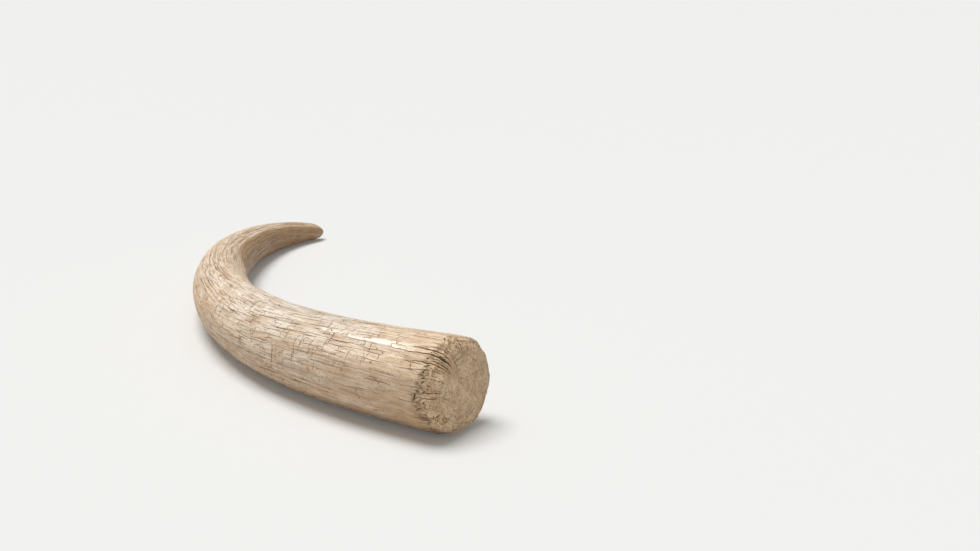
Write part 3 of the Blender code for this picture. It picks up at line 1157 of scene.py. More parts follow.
    def add_rim_lines(self, sheet: CrackedSheet) -> None:
        """Adds the jagged edge of the skin, and the foot of the step below it.

        Args:
            sheet: the sheet.
        """
        turns = round(FULL_TURN * self.form.base_radius / self.rim_step)
        angles = np.linspace(-math.pi, math.pi, turns + 1)[1:-1]
        edge = self.rim.skin_edge(angles)
        for along in (edge, edge - self.rim.step_width):
            sheet.add_line(np.column_stack([along, angles * self.form.radius(along)]))

    def lattice(self, start: float, end: float, row_step: float, column_step: float) -> Array:
        """Staggered rows of points.

        Args:
            start: distance of the first row from the broken face.
            end: distance of the last row.
            row_step: distance between rows.
            column_step: distance between the points of a row.

        Returns:
            The points, one row each.
        """
        found = []
        for number, row in enumerate(np.arange(start, end, row_step)):
            radius = float(self.form.radius(row))
            columns = max(8, round(FULL_TURN * radius / column_step))
            angles = FULL_TURN * (np.arange(columns) + 0.5 * (number % 2) + 0.25) / columns - math.pi
            found.append(np.column_stack([np.full(columns, row), angles * radius]))
        return np.concatenate(found)

    def tip_lattice(self) -> Array:
        """Rings of points over the rounded tip, evenly spaced over its surface.

        Returns:
            The points, one row each.
        """
        form = self.form
        found = []
        for turn in np.linspace(0, math.pi / 2, self.tip_rows + 1)[1:-1]:
            row = form.axis_length - form.tip_rounding + form.tip_rounding * math.sin(turn)
            radius = float(form.radius(row))
            columns = max(8, round(FULL_TURN * radius * math.cos(turn) / (0.6 * self.column_step)))
            angles = FULL_TURN * (np.arange(1, columns)) / columns - math.pi
            found.append(np.column_stack([np.full(columns - 1, row), angles * radius]))
        return np.concatenate(found)

    def sheet(self) -> tuple[CrackedSheet, Array, Array]:
        """Cuts the flat sheet along its cracks.

        Returns:
            The sheet, its points and its triangles.
        """
        sheet = CrackedSheet(self.squeeze)
        border = self.add_outline(sheet)
        self.add_rim_lines(sheet)
        for crack in self.cracks():
            sheet.add_crack(crack)
        band_end = self.rim.setback[1] + 0.02
        tip_start = self.form.axis_length - self.form.tip_rounding
        band = self.lattice(self.band_step, band_end, self.band_step, self.band_step)
        sheet.fill(band, self.band_clearance * self.band_step)
        sheet.fill(self.tip_lattice(), self.tip_clearance * self.column_step)
        body = self.lattice(band_end, tip_start, self.row_step, self.column_step)
        sheet.fill(body, self.body_clearance * self.column_step)
        points, triangles = sheet.cut(border)
        # A crack that opens at the broken face is laid from beyond it, and what it adds there is left off.
        triangles = triangles[points[triangles, 0].mean(axis=1) > 0]
        return sheet, points, triangles

    def openings(self, cracks: list[Crack]) -> Array:
        """The angle, depth and half width, at the rim, of each crack that opens at the broken face.

        Args:
            cracks: the skin's cracks.

        Returns:
            One row for each of those that open there.
        """
        found = []
        for crack in cracks:
            places = crack.path[:, 0]
            if places[0] < 0 < places[-1]:
                across = np.interp(0.0, places, crack.path[:, 1])
                sizes = [np.interp(0.0, places, values) for values in (crack.depth, crack.half_width)]
                found.append([across / self.form.base_radius, *sizes])
        return np.array(found)

    def ripples(self, along: Array, angle: Array) -> Array:
        """How far low ridges along the grain, and flakes on the lower half, lie below the skin.

        Args:
            along: distances from the broken face.
            angle: angles round the tusk.

        Returns:
            The depth at each point.
        """
        radius = self.form.radius(along)
        ridges = grain_noise(along, angle, radius, self.ripple_size)
        flakes = grain_noise(along, angle, radius, self.flake_size)
        low = smooth_step((np.abs(angle) - self.flakes_below) / self.flakes_fade)
        return self.ripple_height * (1 + ridges) + self.flake_height * low * (0.7 + flakes)


@dataclass
class BrokenFace:
    """The rough broken end: granular ivory, splits that run in from the rim, and parts of growth rings."""

    form: TuskForm
    seed: int = 5
    step: float = 0.0021
    nicks: int = 90
    hairlines: int = 9
    arcs: int = 7
    edge_chips: int = 22
    grain_height: float = 0.0007
    grain_size: float = 0.0050
    lump_height: float = 0.0030
    lump_size: float = 0.019
    edge_rounding: float = 0.026
    groove_lengths: Range = (0.003, 0.010)
    groove_longer: float = 0.062
    groove_station: float = 0.0035
    groove_top: float = -0.35
    groove_bends: Range = (0.3, 1.1)
    groove_fall: Place = (0.25, -1.0)
    shiver: float = 0.0005
    nick_lengths: Range = (0.0025, 0.006)
    hairline_lengths: Range = (0.012, 0.030)
    marks_reach: float = 0.088
    chip_middles: Range = (math.radians(95), math.radians(265))
    chip_insets: Range = (0.0035, 0.016)
    arc_radii: Range = (0.045, 0.080)

    def groove(self, opening: Array, rim: float, draw: Chance) -> Crack:
        """A split that goes on from one of the skin's, inward and down.

        Args:
            opening: the angle, depth and half width of the skin's split at the rim.
            rim: the face's radius there.
            draw: the source of chance.

        Returns:
            The crack, in offsets sideways and upward.
        """
        angle, depth, half_width = (float(value) for value in opening)
        top = max(0.0, math.cos(angle - self.groove_top))
        length = draw.uniform(*self.groove_lengths) + draw.uniform(0.0, self.groove_longer) * top**2
        steps = np.linspace(0, 1, max(5, round(length / self.groove_station)))
        inward = -np.array(off_middle(1.0, angle))
        way = inward + steps[:, None] * draw.uniform(*self.groove_bends) * top * np.array(self.groove_fall)
        way /= np.linalg.norm(way, axis=1)[:, None]
        path = -inward * (rim - 0.0006) + np.cumsum(way, axis=0) * length / len(steps)
        path[1:] += draw.normal(0, self.shiver, (len(steps) - 1, 2))
        shallow = draw.uniform(0.35, 0.6) + 0.35 * top
        return Crack.drawn(path, depth * shallow, half_width, 0.45 + 0.35 * top, opens=True)

    def edge_chip(self, rim_radius: RadiusAt, draw: Chance) -> Crack:
        """A short deep split beside the lower edge, where the rim is about to flake away.

        Args:
            rim_radius: gives the face's radius at an angle.
            draw: the source of chance.

        Returns:
            The crack, in offsets sideways and upward.
        """
        middle = draw.uniform(*self.chip_middles)
        turns = middle + np.linspace(-0.5, 0.5, 7) * draw.uniform(0.08, 0.22)
        start, end = draw.uniform(*self.chip_insets, 2)
        radii = np.array([float(rim_radius(turn)) for turn in turns]) - np.linspace(start, end, 7)
        path = np.column_stack(off_middle(radii, turns))
        path[1:-1] += draw.normal(0, 0.0004, (5, 2))
        return Crack.drawn(path, draw.uniform(0.0016, 0.0034), draw.uniform(0.0006, 0.0012), 0.85)

    def mark(self, long: bool, rim_radius: RadiusAt, draw: Chance) -> Crack | None:
        """A nick, or a longer hairline, that lies any way on the face.

        Args:
            long: whether it is a hairline.
            rim_radius: gives the face's radius at an angle.
            draw: the source of chance.

        Returns:
            The crack, in offsets sideways and upward, or None where it would cross the rim.
        """
        radius, turn = self.marks_reach * math.sqrt(draw.uniform(0, 1)), draw.uniform(0, FULL_TURN)
        length = draw.uniform(*(self.hairline_lengths if long else self.nick_lengths))
        way = draw.uniform(0, FULL_TURN)
        steps = np.linspace(-0.5, 0.5, 9 if long else 5) * length
        path = np.column_stack([steps * math.cos(way), steps * math.sin(way)]) + off_middle(radius, turn)
        path[1:-1] += draw.normal(0, 0.0006, (len(steps) - 2, 2))
        if rim_radius(turn) - radius <= length:
            return None
        depth, stain = (0.0008, 0.35) if long else (draw.uniform(0.0008, 0.002), draw.uniform(0.4, 0.9))
        return Crack.drawn(path, depth, draw.uniform(0.0004, 0.0009), stain)

    def arc(self, draw: Chance) -> Crack:
        """A part of a growth ring, in offsets sideways and upward.

        Args:
            draw: the source of chance.

        Returns:
            The crack.
        """
        middle, radius = draw.uniform(0, FULL_TURN), draw.uniform(*self.arc_radii)
        reach = draw.uniform(0.010, 0.030) / radius
        angles = np.linspace(middle - reach, middle + reach, 10)
        radii = radius + draw.normal(0, 0.0009, len(angles))
        path = np.column_stack(off_middle(radii, angles))
        return Crack.drawn(path, 0.0010, draw.uniform(0.0005, 0.0008), 0.4)

    def cracks(self, rim_radius: RadiusAt, openings: Array) -> list[Crack]:
        """Every crack of the face.

        Args:
            rim_radius: gives the face's radius at an angle.
            openings: the angle, depth and half width of each of the skin's splits at the rim.

        Returns:
            The grooves, nicks, hairlines, edge chips and arcs.
        """
        draw = np.random.default_rng(self.seed)
        found = [self.groove(opening, float(rim_radius(opening[0])), draw) for opening in openings]
        first_long = len(found) + self.nicks
        for _ in range(self.nicks + self.hairlines):
            mark = self.mark(len(found) >= first_long, rim_radius, draw)
            if mark:
                found.append(mark)
        found += [self.edge_chip(rim_radius, draw) for _ in range(self.edge_chips)]
        return found + [self.arc(draw) for _ in range(self.arcs)]

    def lattice(self, radius: float) -> Array:
        """Staggered points over a disc.

        Args:
            radius: the disc's radius.

        Returns:
            The points, one row each.
        """
        rows = np.arange(-radius, radius, self.step * math.sqrt(0.75))
        columns = np.arange(-radius, radius, self.step)
        found = []
        for number, row in enumerate(rows):
            shift = 0.5 * self.step * (number % 2)
            found.append(np.column_stack([columns + shift, np.full(len(columns), row)]))
        return np.concatenate(found)

    def sheet(self, rim: Array, openings: Array) -> tuple[CrackedSheet, Array, Array]:
        """The face's flat sheet inside the rim.

        Args:
            rim: the rim's points as offsets sideways and upward, in order round it.
            openings: the angle, depth and half width of each of the skin's splits at the rim.

        Returns:
            The sheet, its points, the first of which are the rim's own, and its triangles.
        """
        angles = np.arctan2(rim[:, 0], rim[:, 1])
        order = np.argsort(angles)
        radii = np.hypot(rim[:, 0], rim[:, 1])

        def rim_radius(angle: Array) -> Array:
            """The face's radius at an angle."""
            wrapped = (np.asarray(angle) + math.pi) % FULL_TURN - math.pi
            return np.interp(wrapped, angles[order], radii[order], period=FULL_TURN)

        sheet = CrackedSheet()
        border = sheet.add(rim)
        for crack in self.cracks(rim_radius, openings):
            sheet.add_crack(crack)
        inside = self.lattice(self.form.base_radius)
        room = rim_radius(np.arctan2(inside[:, 0], inside[:, 1])) - np.hypot(inside[:, 0], inside[:, 1])
        sheet.fill(inside[room > 0.5 * self.step], 0.45 * self.step)
        points, triangles = sheet.cut(border)
        return sheet, points, triangles

    def relief(self, points: Array, room: Array, retreat: Array) -> Array:
        """How far the face's grain and lumps lie behind its plane.

        Args:
            points: offsets sideways and upward, one row each.
            room: each point's distance to the rim.
            retreat: how far the rim nearest to each point is rounded back.

        Returns:
            The depth at each point.
        """
        flat = np.column_stack([points, np.zeros(len(points))])
        grain = self.grain_height * (0.6 + noise_at(flat / self.grain_size))
        lumps = self.lump_height * (0.5 + noise_at(flat / self.lump_size))
        inward = smooth_step(room / (2 * self.step))
        rounded = retreat * np.clip(1 - room / self.edge_rounding, 0, 1) ** 2
        return (grain + lumps) * inward + rounded


@dataclass(frozen=True)
class BendShadeAndTipPatina:
    """Where the skin is painted browner: painted shade on the inside of the bend, and the tip's own brown."""

    alongs: tuple[float, ...] = (1.05, 1.20, 1.30, 1.40, 1.80)
    borders: tuple[float, ...] = tuple(math.radians(degrees) for degrees in (85, 52, 42, 40, 46))
    fade: float = 0.16
    fade_angle: float = math.radians(24)
    underside: float = math.radians(50)
    tip_length: float = 0.30
    tip_share: float = 0.55

    def share(self, form: TuskForm, along: Array, angle: Array) -> Array:
        """How brown the skin is painted: the greater of the painted shade inside the bend and the tip's own
        brown.

        Args:
            form: the plain tusk.
            along: distances from the broken face.
            angle: angles round the tusk.

        Returns:
            A share from 0 to 1 for each point.
        """
        border = np.interp(along, self.alongs, self.borders)
        inner = smooth_step((angle - border) / self.fade_angle + 0.5)
        inner = inner * smooth_step((math.pi - angle) / self.underside)
        inner = inner * smooth_step((along - self.alongs[0]) / self.fade)
        tip = smooth_step((along - form.axis_length + self.tip_length) / self.tip_length)
        return np.maximum(inner, self.tip_share * tip)


class Operation(Enum):
    """The sums that a shader value can stand in."""

    ADD = "ADD"
    SUBTRACT = "SUBTRACT"
    MULTIPLY = "MULTIPLY"


class Value:
    """A shader socket that can be used in sums, from either side."""

    def __init__(self, graph: "NodeGraph", socket: bpy.types.NodeSocket) -> None:
        """Wraps a socket of a graph."""
        self.graph = graph
        self.socket = socket

    def _sum(self, operation: Operation, first: Any, second: Any) -> "Value":
        """Adds a Math node for one operation on two values."""
        return self.graph.node("ShaderNodeMath", {"operation": operation.value}, {0: first, 1: second})

    def __add__(self, other: Any) -> "Value":
        """This value plus another."""
        return self._sum(Operation.ADD, self, other)

    def __radd__(self, other: Any) -> "Value":
        """Another value plus this."""
        return self._sum(Operation.ADD, other, self)

    def __sub__(self, other: Any) -> "Value":
        """This value less another."""
        return self._sum(Operation.SUBTRACT, self, other)

    def __rsub__(self, other: Any) -> "Value":
        """Another value less this."""
        return self._sum(Operation.SUBTRACT, other, self)

    def __mul__(self, other: Any) -> "Value":
        """This value times another."""
        return self._sum(Operation.MULTIPLY, self, other)

    def __rmul__(self, other: Any) -> "Value":
        """Another value times this."""
        return self._sum(Operation.MULTIPLY, other, self)


class NodeGraph:
    """Builds the nodes of a material, or of the surround."""

    def __init__(self, owner: bpy.types.Material | bpy.types.World) -> None:
        """Takes over the nodes of a material or of the surround.

        Args:
            owner: the material, or the surround.
        """
        owner.use_nodes = True
        self.tree = owner.node_tree
        self.shader = self.tree.nodes.get("Principled BSDF")

    def node(self, kind: str, settings: dict[str, Any], sockets: dict[Any, Any], output: Any = 0) -> Value:
        """Adds a node.

        Args:
            kind: the node's type.
            settings: its own settings, which are set first; "stops" fills a colour ramp.
            sockets: the value or link of each input socket.
            output: which output is wanted.

        Returns:
            That output.
        """
        made = self.tree.nodes.new(kind)
        for name, value in settings.items():
            if name == "stops":
                self._fill_ramp(made.color_ramp, value)
            else:
                setattr(made, name, value)
        for name, value in sockets.items():
            self.feed(made.inputs[name], value)
        return Value(self, made.outputs[output])

    def _fill_ramp(self, ramp: bpy.types.ColorRamp, stops: list[Range]) -> None:
        """Sets a grey ramp's stops, each a position and a level.

        Args:
            ramp: the ramp.
            stops: the position and level of each stop.
        """
        while len(ramp.elements) < len(stops):
            ramp.elements.new(1.0)
        for element, (position, level) in zip(ramp.elements, stops):
            element.position = position
            element.color = (level, level, level, 1.0)

    def feed(self, socket: bpy.types.NodeSocket, value: Any) -> None:
        """Links a value to a socket, or sets it there.

        Args:
            socket: an input.
            value: what it takes.
        """
        if isinstance(value, Value):
            self.tree.links.new(value.socket, socket)
        else:
            socket.default_value = value

    def attribute(self, name: str, output: str) -> Value:
        """Reads what the mesh stores at its points."""
        settings = {"attribute_type": "GEOMETRY", "attribute_name": name}
        return self.node("ShaderNodeAttribute", settings, {}, output)

    def stretched(self, place: Value, scale: Range) -> Value:
        """A place times one scale along the tusk and another across it."""
        scales = (scale[0], scale[1], scale[1])
        return self.node("ShaderNodeVectorMath", {"operation": "MULTIPLY"}, {0: place, 1: scales})

    def noise(
        self, place: Value, scale: Range, detail: float, roughness: float = 0.5, distortion: float = 0.0
    ) -> Value:
        """Noise from 0 to 1, at so many lumps to a metre along the tusk and across it.

        Args:
            place: where it is read.
            scale: how often it changes along the tusk and across it.
            detail: how many finer layers it has.
            roughness: how strong those are.
            distortion: how far it is bent by itself.

        Returns:
            The noise.
        """
        sockets = {"Vector": self.stretched(place, scale), "Scale": 1.0, "Detail": detail}
        sockets |= {"Roughness": roughness, "Distortion": distortion}
        return self.node("ShaderNodeTexNoise", {}, sockets, "Fac")

    def ramp(self, value: Value, *stops: Range) -> Value:
        """A value passed through a grey ramp."""
        return self.node("ShaderNodeValToRGB", {"stops": list(stops)}, {"Fac": value})

    def coat(self, colour: Value, tint: Colour, value: Value, *stops: Range, blend: str = "MIX") -> Value:
        """A colour with a tint laid over it by a ramped value."""
        return self.mix(self.ramp(value, *stops), colour, tint, blend)

    def cell_edges(self, place: Value, scale: Range, shift: Value) -> Value:
        """The distance to the nearest edge between stretched cells, moved by a shift.

        Args:
            place: where it is read.
            scale: how many cells to a metre along and across.
            shift: what moves the place.

        Returns:
            The distance.
        """
        sockets = {0: self.stretched(place, scale), 1: shift}
        moved = self.node("ShaderNodeVectorMath", {"operation": "ADD"}, sockets)
        settings = {"feature": "DISTANCE_TO_EDGE"}
        return self.node("ShaderNodeTexVoronoi", settings, {"Vector": moved, "Scale": 1.0, "Randomness": 0.9})

    def contour(self, value: Value, level: float, width: float) -> Value:
        """1 on the lines where a value passes a level, falling to 0 within a width."""
        off = self.node("ShaderNodeMath", {"operation": "ABSOLUTE"}, {0: value - level})
        return self.ramp(off, (0.0, 1.0), (width, 0.0))

    def most(self, first: Any, second: Any) -> Value:
        """The greater of two values."""
        return self.node("ShaderNodeMath", {"operation": "MAXIMUM"}, {0: first, 1: second})

    def mix(self, share: Any, first: Any, second: Any, blend: str = "MIX") -> Value:
        """Two colours mixed by a share."""
        settings = {"data_type": "RGBA", "blend_type": blend}
        return self.node("ShaderNodeMix", settings, {0: share, 6: first, 7: second}, 2)


@dataclass(frozen=True)
class IvoryFinish:
    """Weathered ivory: skin, cracks, chipped rim and broken end, told apart by what the mesh stores."""

    name: str = "weathered ivory"
    sound: Colour = (0.80, 0.625, 0.440, 1.0)
    bleached: Colour = (0.93, 0.83, 0.710, 1.0)
    tanned: Colour = (0.75, 0.530, 0.325, 1.0)
    streak: Colour = (0.46, 0.300, 0.175, 1.0)
    shallow_crack: Colour = (0.29, 0.175, 0.095, 1.0)
    deep_crack: Colour = (0.135, 0.083, 0.047, 1.0)
    blotch_tint: Colour = (0.79, 0.695, 0.580, 1.0)
    patina_tint: Colour = (0.63, 0.505, 0.365, 1.0)
    underside_tint: Colour = (0.34, 0.290, 0.240, 1.0)
    broken: Colour = (0.70, 0.490, 0.295, 1.0)
    broken_pale: Colour = (0.89, 0.655, 0.420, 1.0)
    broken_dark: Colour = (0.29, 0.185, 0.100, 1.0)
    bump_distance: float = 0.0010
    polish_roughness: float = 0.16
    polish_index: float = 1.8

    def grain(self, graph: NodeGraph, place: Value, up: Value, distance: Value) -> tuple[Value, Value]:
        """Pale streaks, tan patches, dark hairs, upper lines and flecks with the grain; painted light on top,
        painted shade low down.

        Args:
            graph: the material's nodes.
            place: the grain place.
            up: how far the skin is turned up, from 0 to 1.
            distance: how far the place is from the broken face.

        Returns:
            The skin's colour, and its height for the bump.
        """
        streaks = graph.noise(place, (11.0, 210.0), 4.0, 0.66, 0.3)
        hairs = graph.noise(place, (10.0, 270.0), 2.0, 0.6)
        combed = graph.noise(place, (6.0, 150.0), 2.0, 0.55)
        flecks = graph.noise(place, (48.0, 125.0), 3.0, 0.62)
        patches = graph.noise(place, (6.0, 16.0), 4.0, 0.6)
        # Painted shade: the lower sides lean to the tanned colour and come out darker; the noise patches are
        # the skin's own tan.
        tan_patches_and_side_shade = graph.ramp(patches + up * 0.24, (0.50, 0.0), (0.78, 1.0))
        lit_top_along = graph.ramp(distance, (0.04, 0.28), (0.28, 1.0), (0.62, 1.0), (0.92, 0.60))
        lined = graph.ramp(combed, (0.36, 0.42), (0.46, 0.0)) * graph.ramp(up, (0.50, 0.20), (0.90, 1.0))
        colour = graph.mix(tan_patches_and_side_shade, self.tanned, self.sound)
        # Painted light: the upper side is mixed towards the pale colour, most of all on the middle of the
        # tusk; the streaks are the skin's own pale grain.
        pale = streaks * 0.52 + up * lit_top_along * 0.42
        colour = graph.coat(colour, self.bleached, pale, (0.41, 0.0), (0.70, 1.0))
        colour = graph.coat(colour, self.streak, streaks, (0.30, 0.45), (0.43, 0.0))
        colour = graph.coat(colour, self.streak, hairs, (0.36, 0.60), (0.50, 0.0))
        colour = graph.mix(lined, colour, self.streak)
        colour = graph.coat(colour, self.streak, flecks + up * 0.10, (0.38, 0.60), (0.47, 0.0))
        return colour, streaks * 0.8 + hairs * 0.8 + combed * 0.5 + flecks * 0.25

    def net(self, graph: NodeGraph, place: Value, distance: Value) -> Value:
        """How dark the net of cracks too fine for the mesh is.

        Args:
            graph: the material's nodes.
            place: the grain place.
            distance: how far the place is from the broken face.

        Returns:
            A share from 0 to 1.
        """
        wander = graph.noise(place, (35.0, 60.0), 2.0)
        edges = graph.cell_edges(place, (27.0, 88.0), wander * 0.6)
        areas = graph.ramp(graph.noise(place, (9.0, 14.0), 2.0), (0.44, 0.0), (0.58, 1.0))
        cells = graph.ramp(edges, (0.0, 1.0), (0.036, 0.0)) * areas
        cells = cells * graph.ramp(distance, (0.70, 0.8), (1.0, 0.1))
        lines = graph.contour(graph.noise(place, (17.0, 120.0), 1.0), 0.50, 0.010)
        more_lines = graph.contour(graph.noise(place, (24.0, 190.0), 1.0), 0.44, 0.010)
        return graph.most(graph.most(cells, lines * 0.55), more_lines * 0.40)

    def skin(self, graph: NodeGraph, place: Value) -> tuple[Value, Value]:
        """The sound skin: grain, blotches, painted shade on the lower sides, the underside and the inside of
        the bend, a browner tip, and a net of fine cracks.

        Args:
            graph: the material's nodes.
            place: the grain place.

        Returns:
            The skin's colour, and its height for the bump.
        """
        up = graph.attribute("turned_up", "Fac")
        patina = graph.attribute("patina", "Fac")
        distance = graph.node("ShaderNodeSeparateXYZ", {}, {0: place}, 0)
        spots = graph.noise(place, (16.0, 34.0), 4.0, 0.62)
        mottle = graph.noise(place, (10.0, 80.0), 3.0, 0.6)
        net = self.net(graph, place, distance)
        # Painted shade on the inside of the bend, with the tip's own brown, darkens the skin, broken up by
        # noise.
        bend_shade_and_brown = patina + (spots - 0.5) * 0.9
        colour, height = self.grain(graph, place, up, distance)
        # Painted shade: the blotches darken the lower sides more than the upper side.
        blotches_and_low_shade = spots - up * 0.20
        colour = graph.coat(colour, self.blotch_tint, blotches_and_low_shade, (0.30, 0.0), (0.52, 1.0), blend="MULTIPLY")
        # Painted shade: the underside is darkened.
        colour = graph.coat(colour, self.underside_tint, up, (0.010, 1.0), (0.060, 0.0), blend="MULTIPLY")
        colour = graph.coat(colour, self.patina_tint, bend_shade_and_brown, (0.15, 0.0), (0.75, 1.0), blend="MULTIPLY")
        colour = graph.mix(graph.ramp(mottle, (0.43, 0.95), (0.55, 0.0)) * patina, colour, self.streak)
        colour = graph.mix(net * 0.75, colour, self.shallow_crack)
        return colour, height + spots * 0.4 - net * 0.6

    def broken_end(self, graph: NodeGraph, place: Value) -> tuple[Value, Value]:
        """The broken end: granular, in pale and dark patches, with faint growth rings and dark flecks.

        Args:
            graph: the material's nodes.
            place: the grain place.

        Returns:
            The broken end's colour, and its height for the bump.
        """
        patches = graph.noise(place, (40.0, 34.0), 4.0, 0.62)
        grains = graph.noise(place, (230.0, 250.0), 4.0, 0.68)
        flecks = graph.noise(place, (150.0, 160.0), 1.0, 0.5, 0.6)
        from_middle = {0: graph.stretched(place, (0.0, 1.0))}
        radius = graph.node("ShaderNodeVectorMath", {"operation": "LENGTH"}, from_middle, "Value")
        sockets = {"X": radius * 260.0 + patches * 5.0, "Y": patches * 3.0}
        rings = graph.noise(graph.node("ShaderNodeCombineXYZ", {}, sockets), (1.0, 1.0), 1.0)
        colour = graph.mix(graph.ramp(patches, (0.36, 0.0), (0.60, 1.0)), self.broken, self.broken_pale)
        colour = graph.coat(colour, self.broken_dark, rings, (0.34, 0.30), (0.52, 0.0))
        colour = graph.coat(colour, self.broken_dark, grains, (0.34, 0.60), (0.52, 0.0))
        colour = graph.coat(colour, self.shallow_crack, flecks, (0.26, 0.90), (0.35, 0.0))
        return colour, grains * 0.8 + rings * 0.2

    def gleam(self, graph: NodeGraph, place: Value, patches: Value) -> Value:
        """How far the skin is rubbed to a gleam, in strands on the thick half.

        Args:
            graph: the material's nodes.
            place: the grain place.
            patches: fine noise that breaks the gleam up.

        Returns:
            A share from 0 to 1.
        """
        distance = graph.node("ShaderNodeSeparateXYZ", {}, {0: place}, 0)
        rubbed = graph.ramp(distance, (0.05, 0.0), (0.12, 0.8), (0.46, 1.0), (0.62, 0.10))
        strands = graph.noise(place, (7.0, 210.0), 1.0)
        rubbed = rubbed * graph.ramp(strands, (0.42, 0.08), (0.54, 1.0))
        return rubbed * graph.ramp(patches, (0.52, 0.0), (0.66, 1.0))

    def material(self) -> bpy.types.Material:
        """Builds the material.

        Returns:
            The material.
        """
        material = bpy.data.materials.new(self.name)
        graph = NodeGraph(material)
        inputs = graph.shader.inputs
        place = graph.attribute("grain_place", "Vector")
        stain = graph.attribute("crack_stain", "Fac")
        bare = graph.attribute("broken_share", "Fac")
        speckle = graph.noise(place, (190.0, 250.0), 2.0, 0.6)
        blots = graph.noise(place, (70.0, 90.0), 3.0, 0.65)
        fresh = graph.ramp(bare + blots * 0.9, (0.75, 0.0), (1.05, 1.0))

        skin, skin_height = self.skin(graph, place)
        end, end_height = self.broken_end(graph, place)
        border = bare * (1 - bare) * graph.ramp(blots, (0.44, 1.0), (0.60, 0.0))
        colour = graph.mix(border * 3.4, graph.mix(fresh, skin, end), self.broken_dark)
        colour = graph.coat(colour, self.streak, speckle, (0.30, 0.60), (0.44, 0.0))
        colour = graph.coat(colour, self.shallow_crack, stain, (0.06, 0.0), (0.42, 1.0))
        colour = graph.coat(colour, self.deep_crack, stain, (0.38, 0.0), (0.82, 1.0))
        graph.feed(inputs["Base Color"], colour)

        height = skin_height * (1 - fresh) + end_height * fresh + speckle * 0.35
        levels = {"Strength": 1.0, "Distance": self.bump_distance, "Height": height}
        graph.feed(inputs["Normal"], graph.node("ShaderNodeBump", {}, levels, "Normal"))
        graph.feed(inputs["Roughness"], 0.38 + 0.20 * speckle + 0.30 * fresh)
        sheen = self.gleam(graph, place, speckle + blots * 0.4) * (1 - fresh)
        graph.feed(inputs["Coat Weight"], sheen * graph.ramp(stain, (0.0, 1.0), (0.3, 0.0)))
        graph.feed(inputs["Coat Roughness"], self.polish_roughness)
        graph.feed(inputs["Coat IOR"], self.polish_index)
        graph.feed(inputs["Specular IOR Level"], 0.5)
        return material


@dataclass(frozen=True)
class Surface:
    """A cut sheet in space: where its points lie, its triangles, and what the mesh stores."""

    points: Array
    corners: Array
    along: Array
    angle: Array
    radius: Array
    textures: Array
    stored: dict[str, Array]

    @classmethod
    def together(cls, first: "Surface", second: "Surface") -> "Surface":
        """Two surfaces as one.

        Args:
            first: the one whose points and triangles come first.
            second: the other.

        Returns:
            The whole.
        """
        names = [one.name for one in fields(cls) if one.name != "stored"]
        lists = {name: np.concatenate([getattr(first, name), getattr(second, name)]) for name in names}
        stored = {name: np.concatenate([first.stored[name], second.stored[name]]) for name in first.stored}
        return cls(**lists, stored=stored)


@dataclass(frozen=True)
class RimRing:
    """The skin's points at the rim of the broken face, in order round it, and the splits that open there."""

    numbers: Array
    angle: Array
    radius: Array
    openings: Array


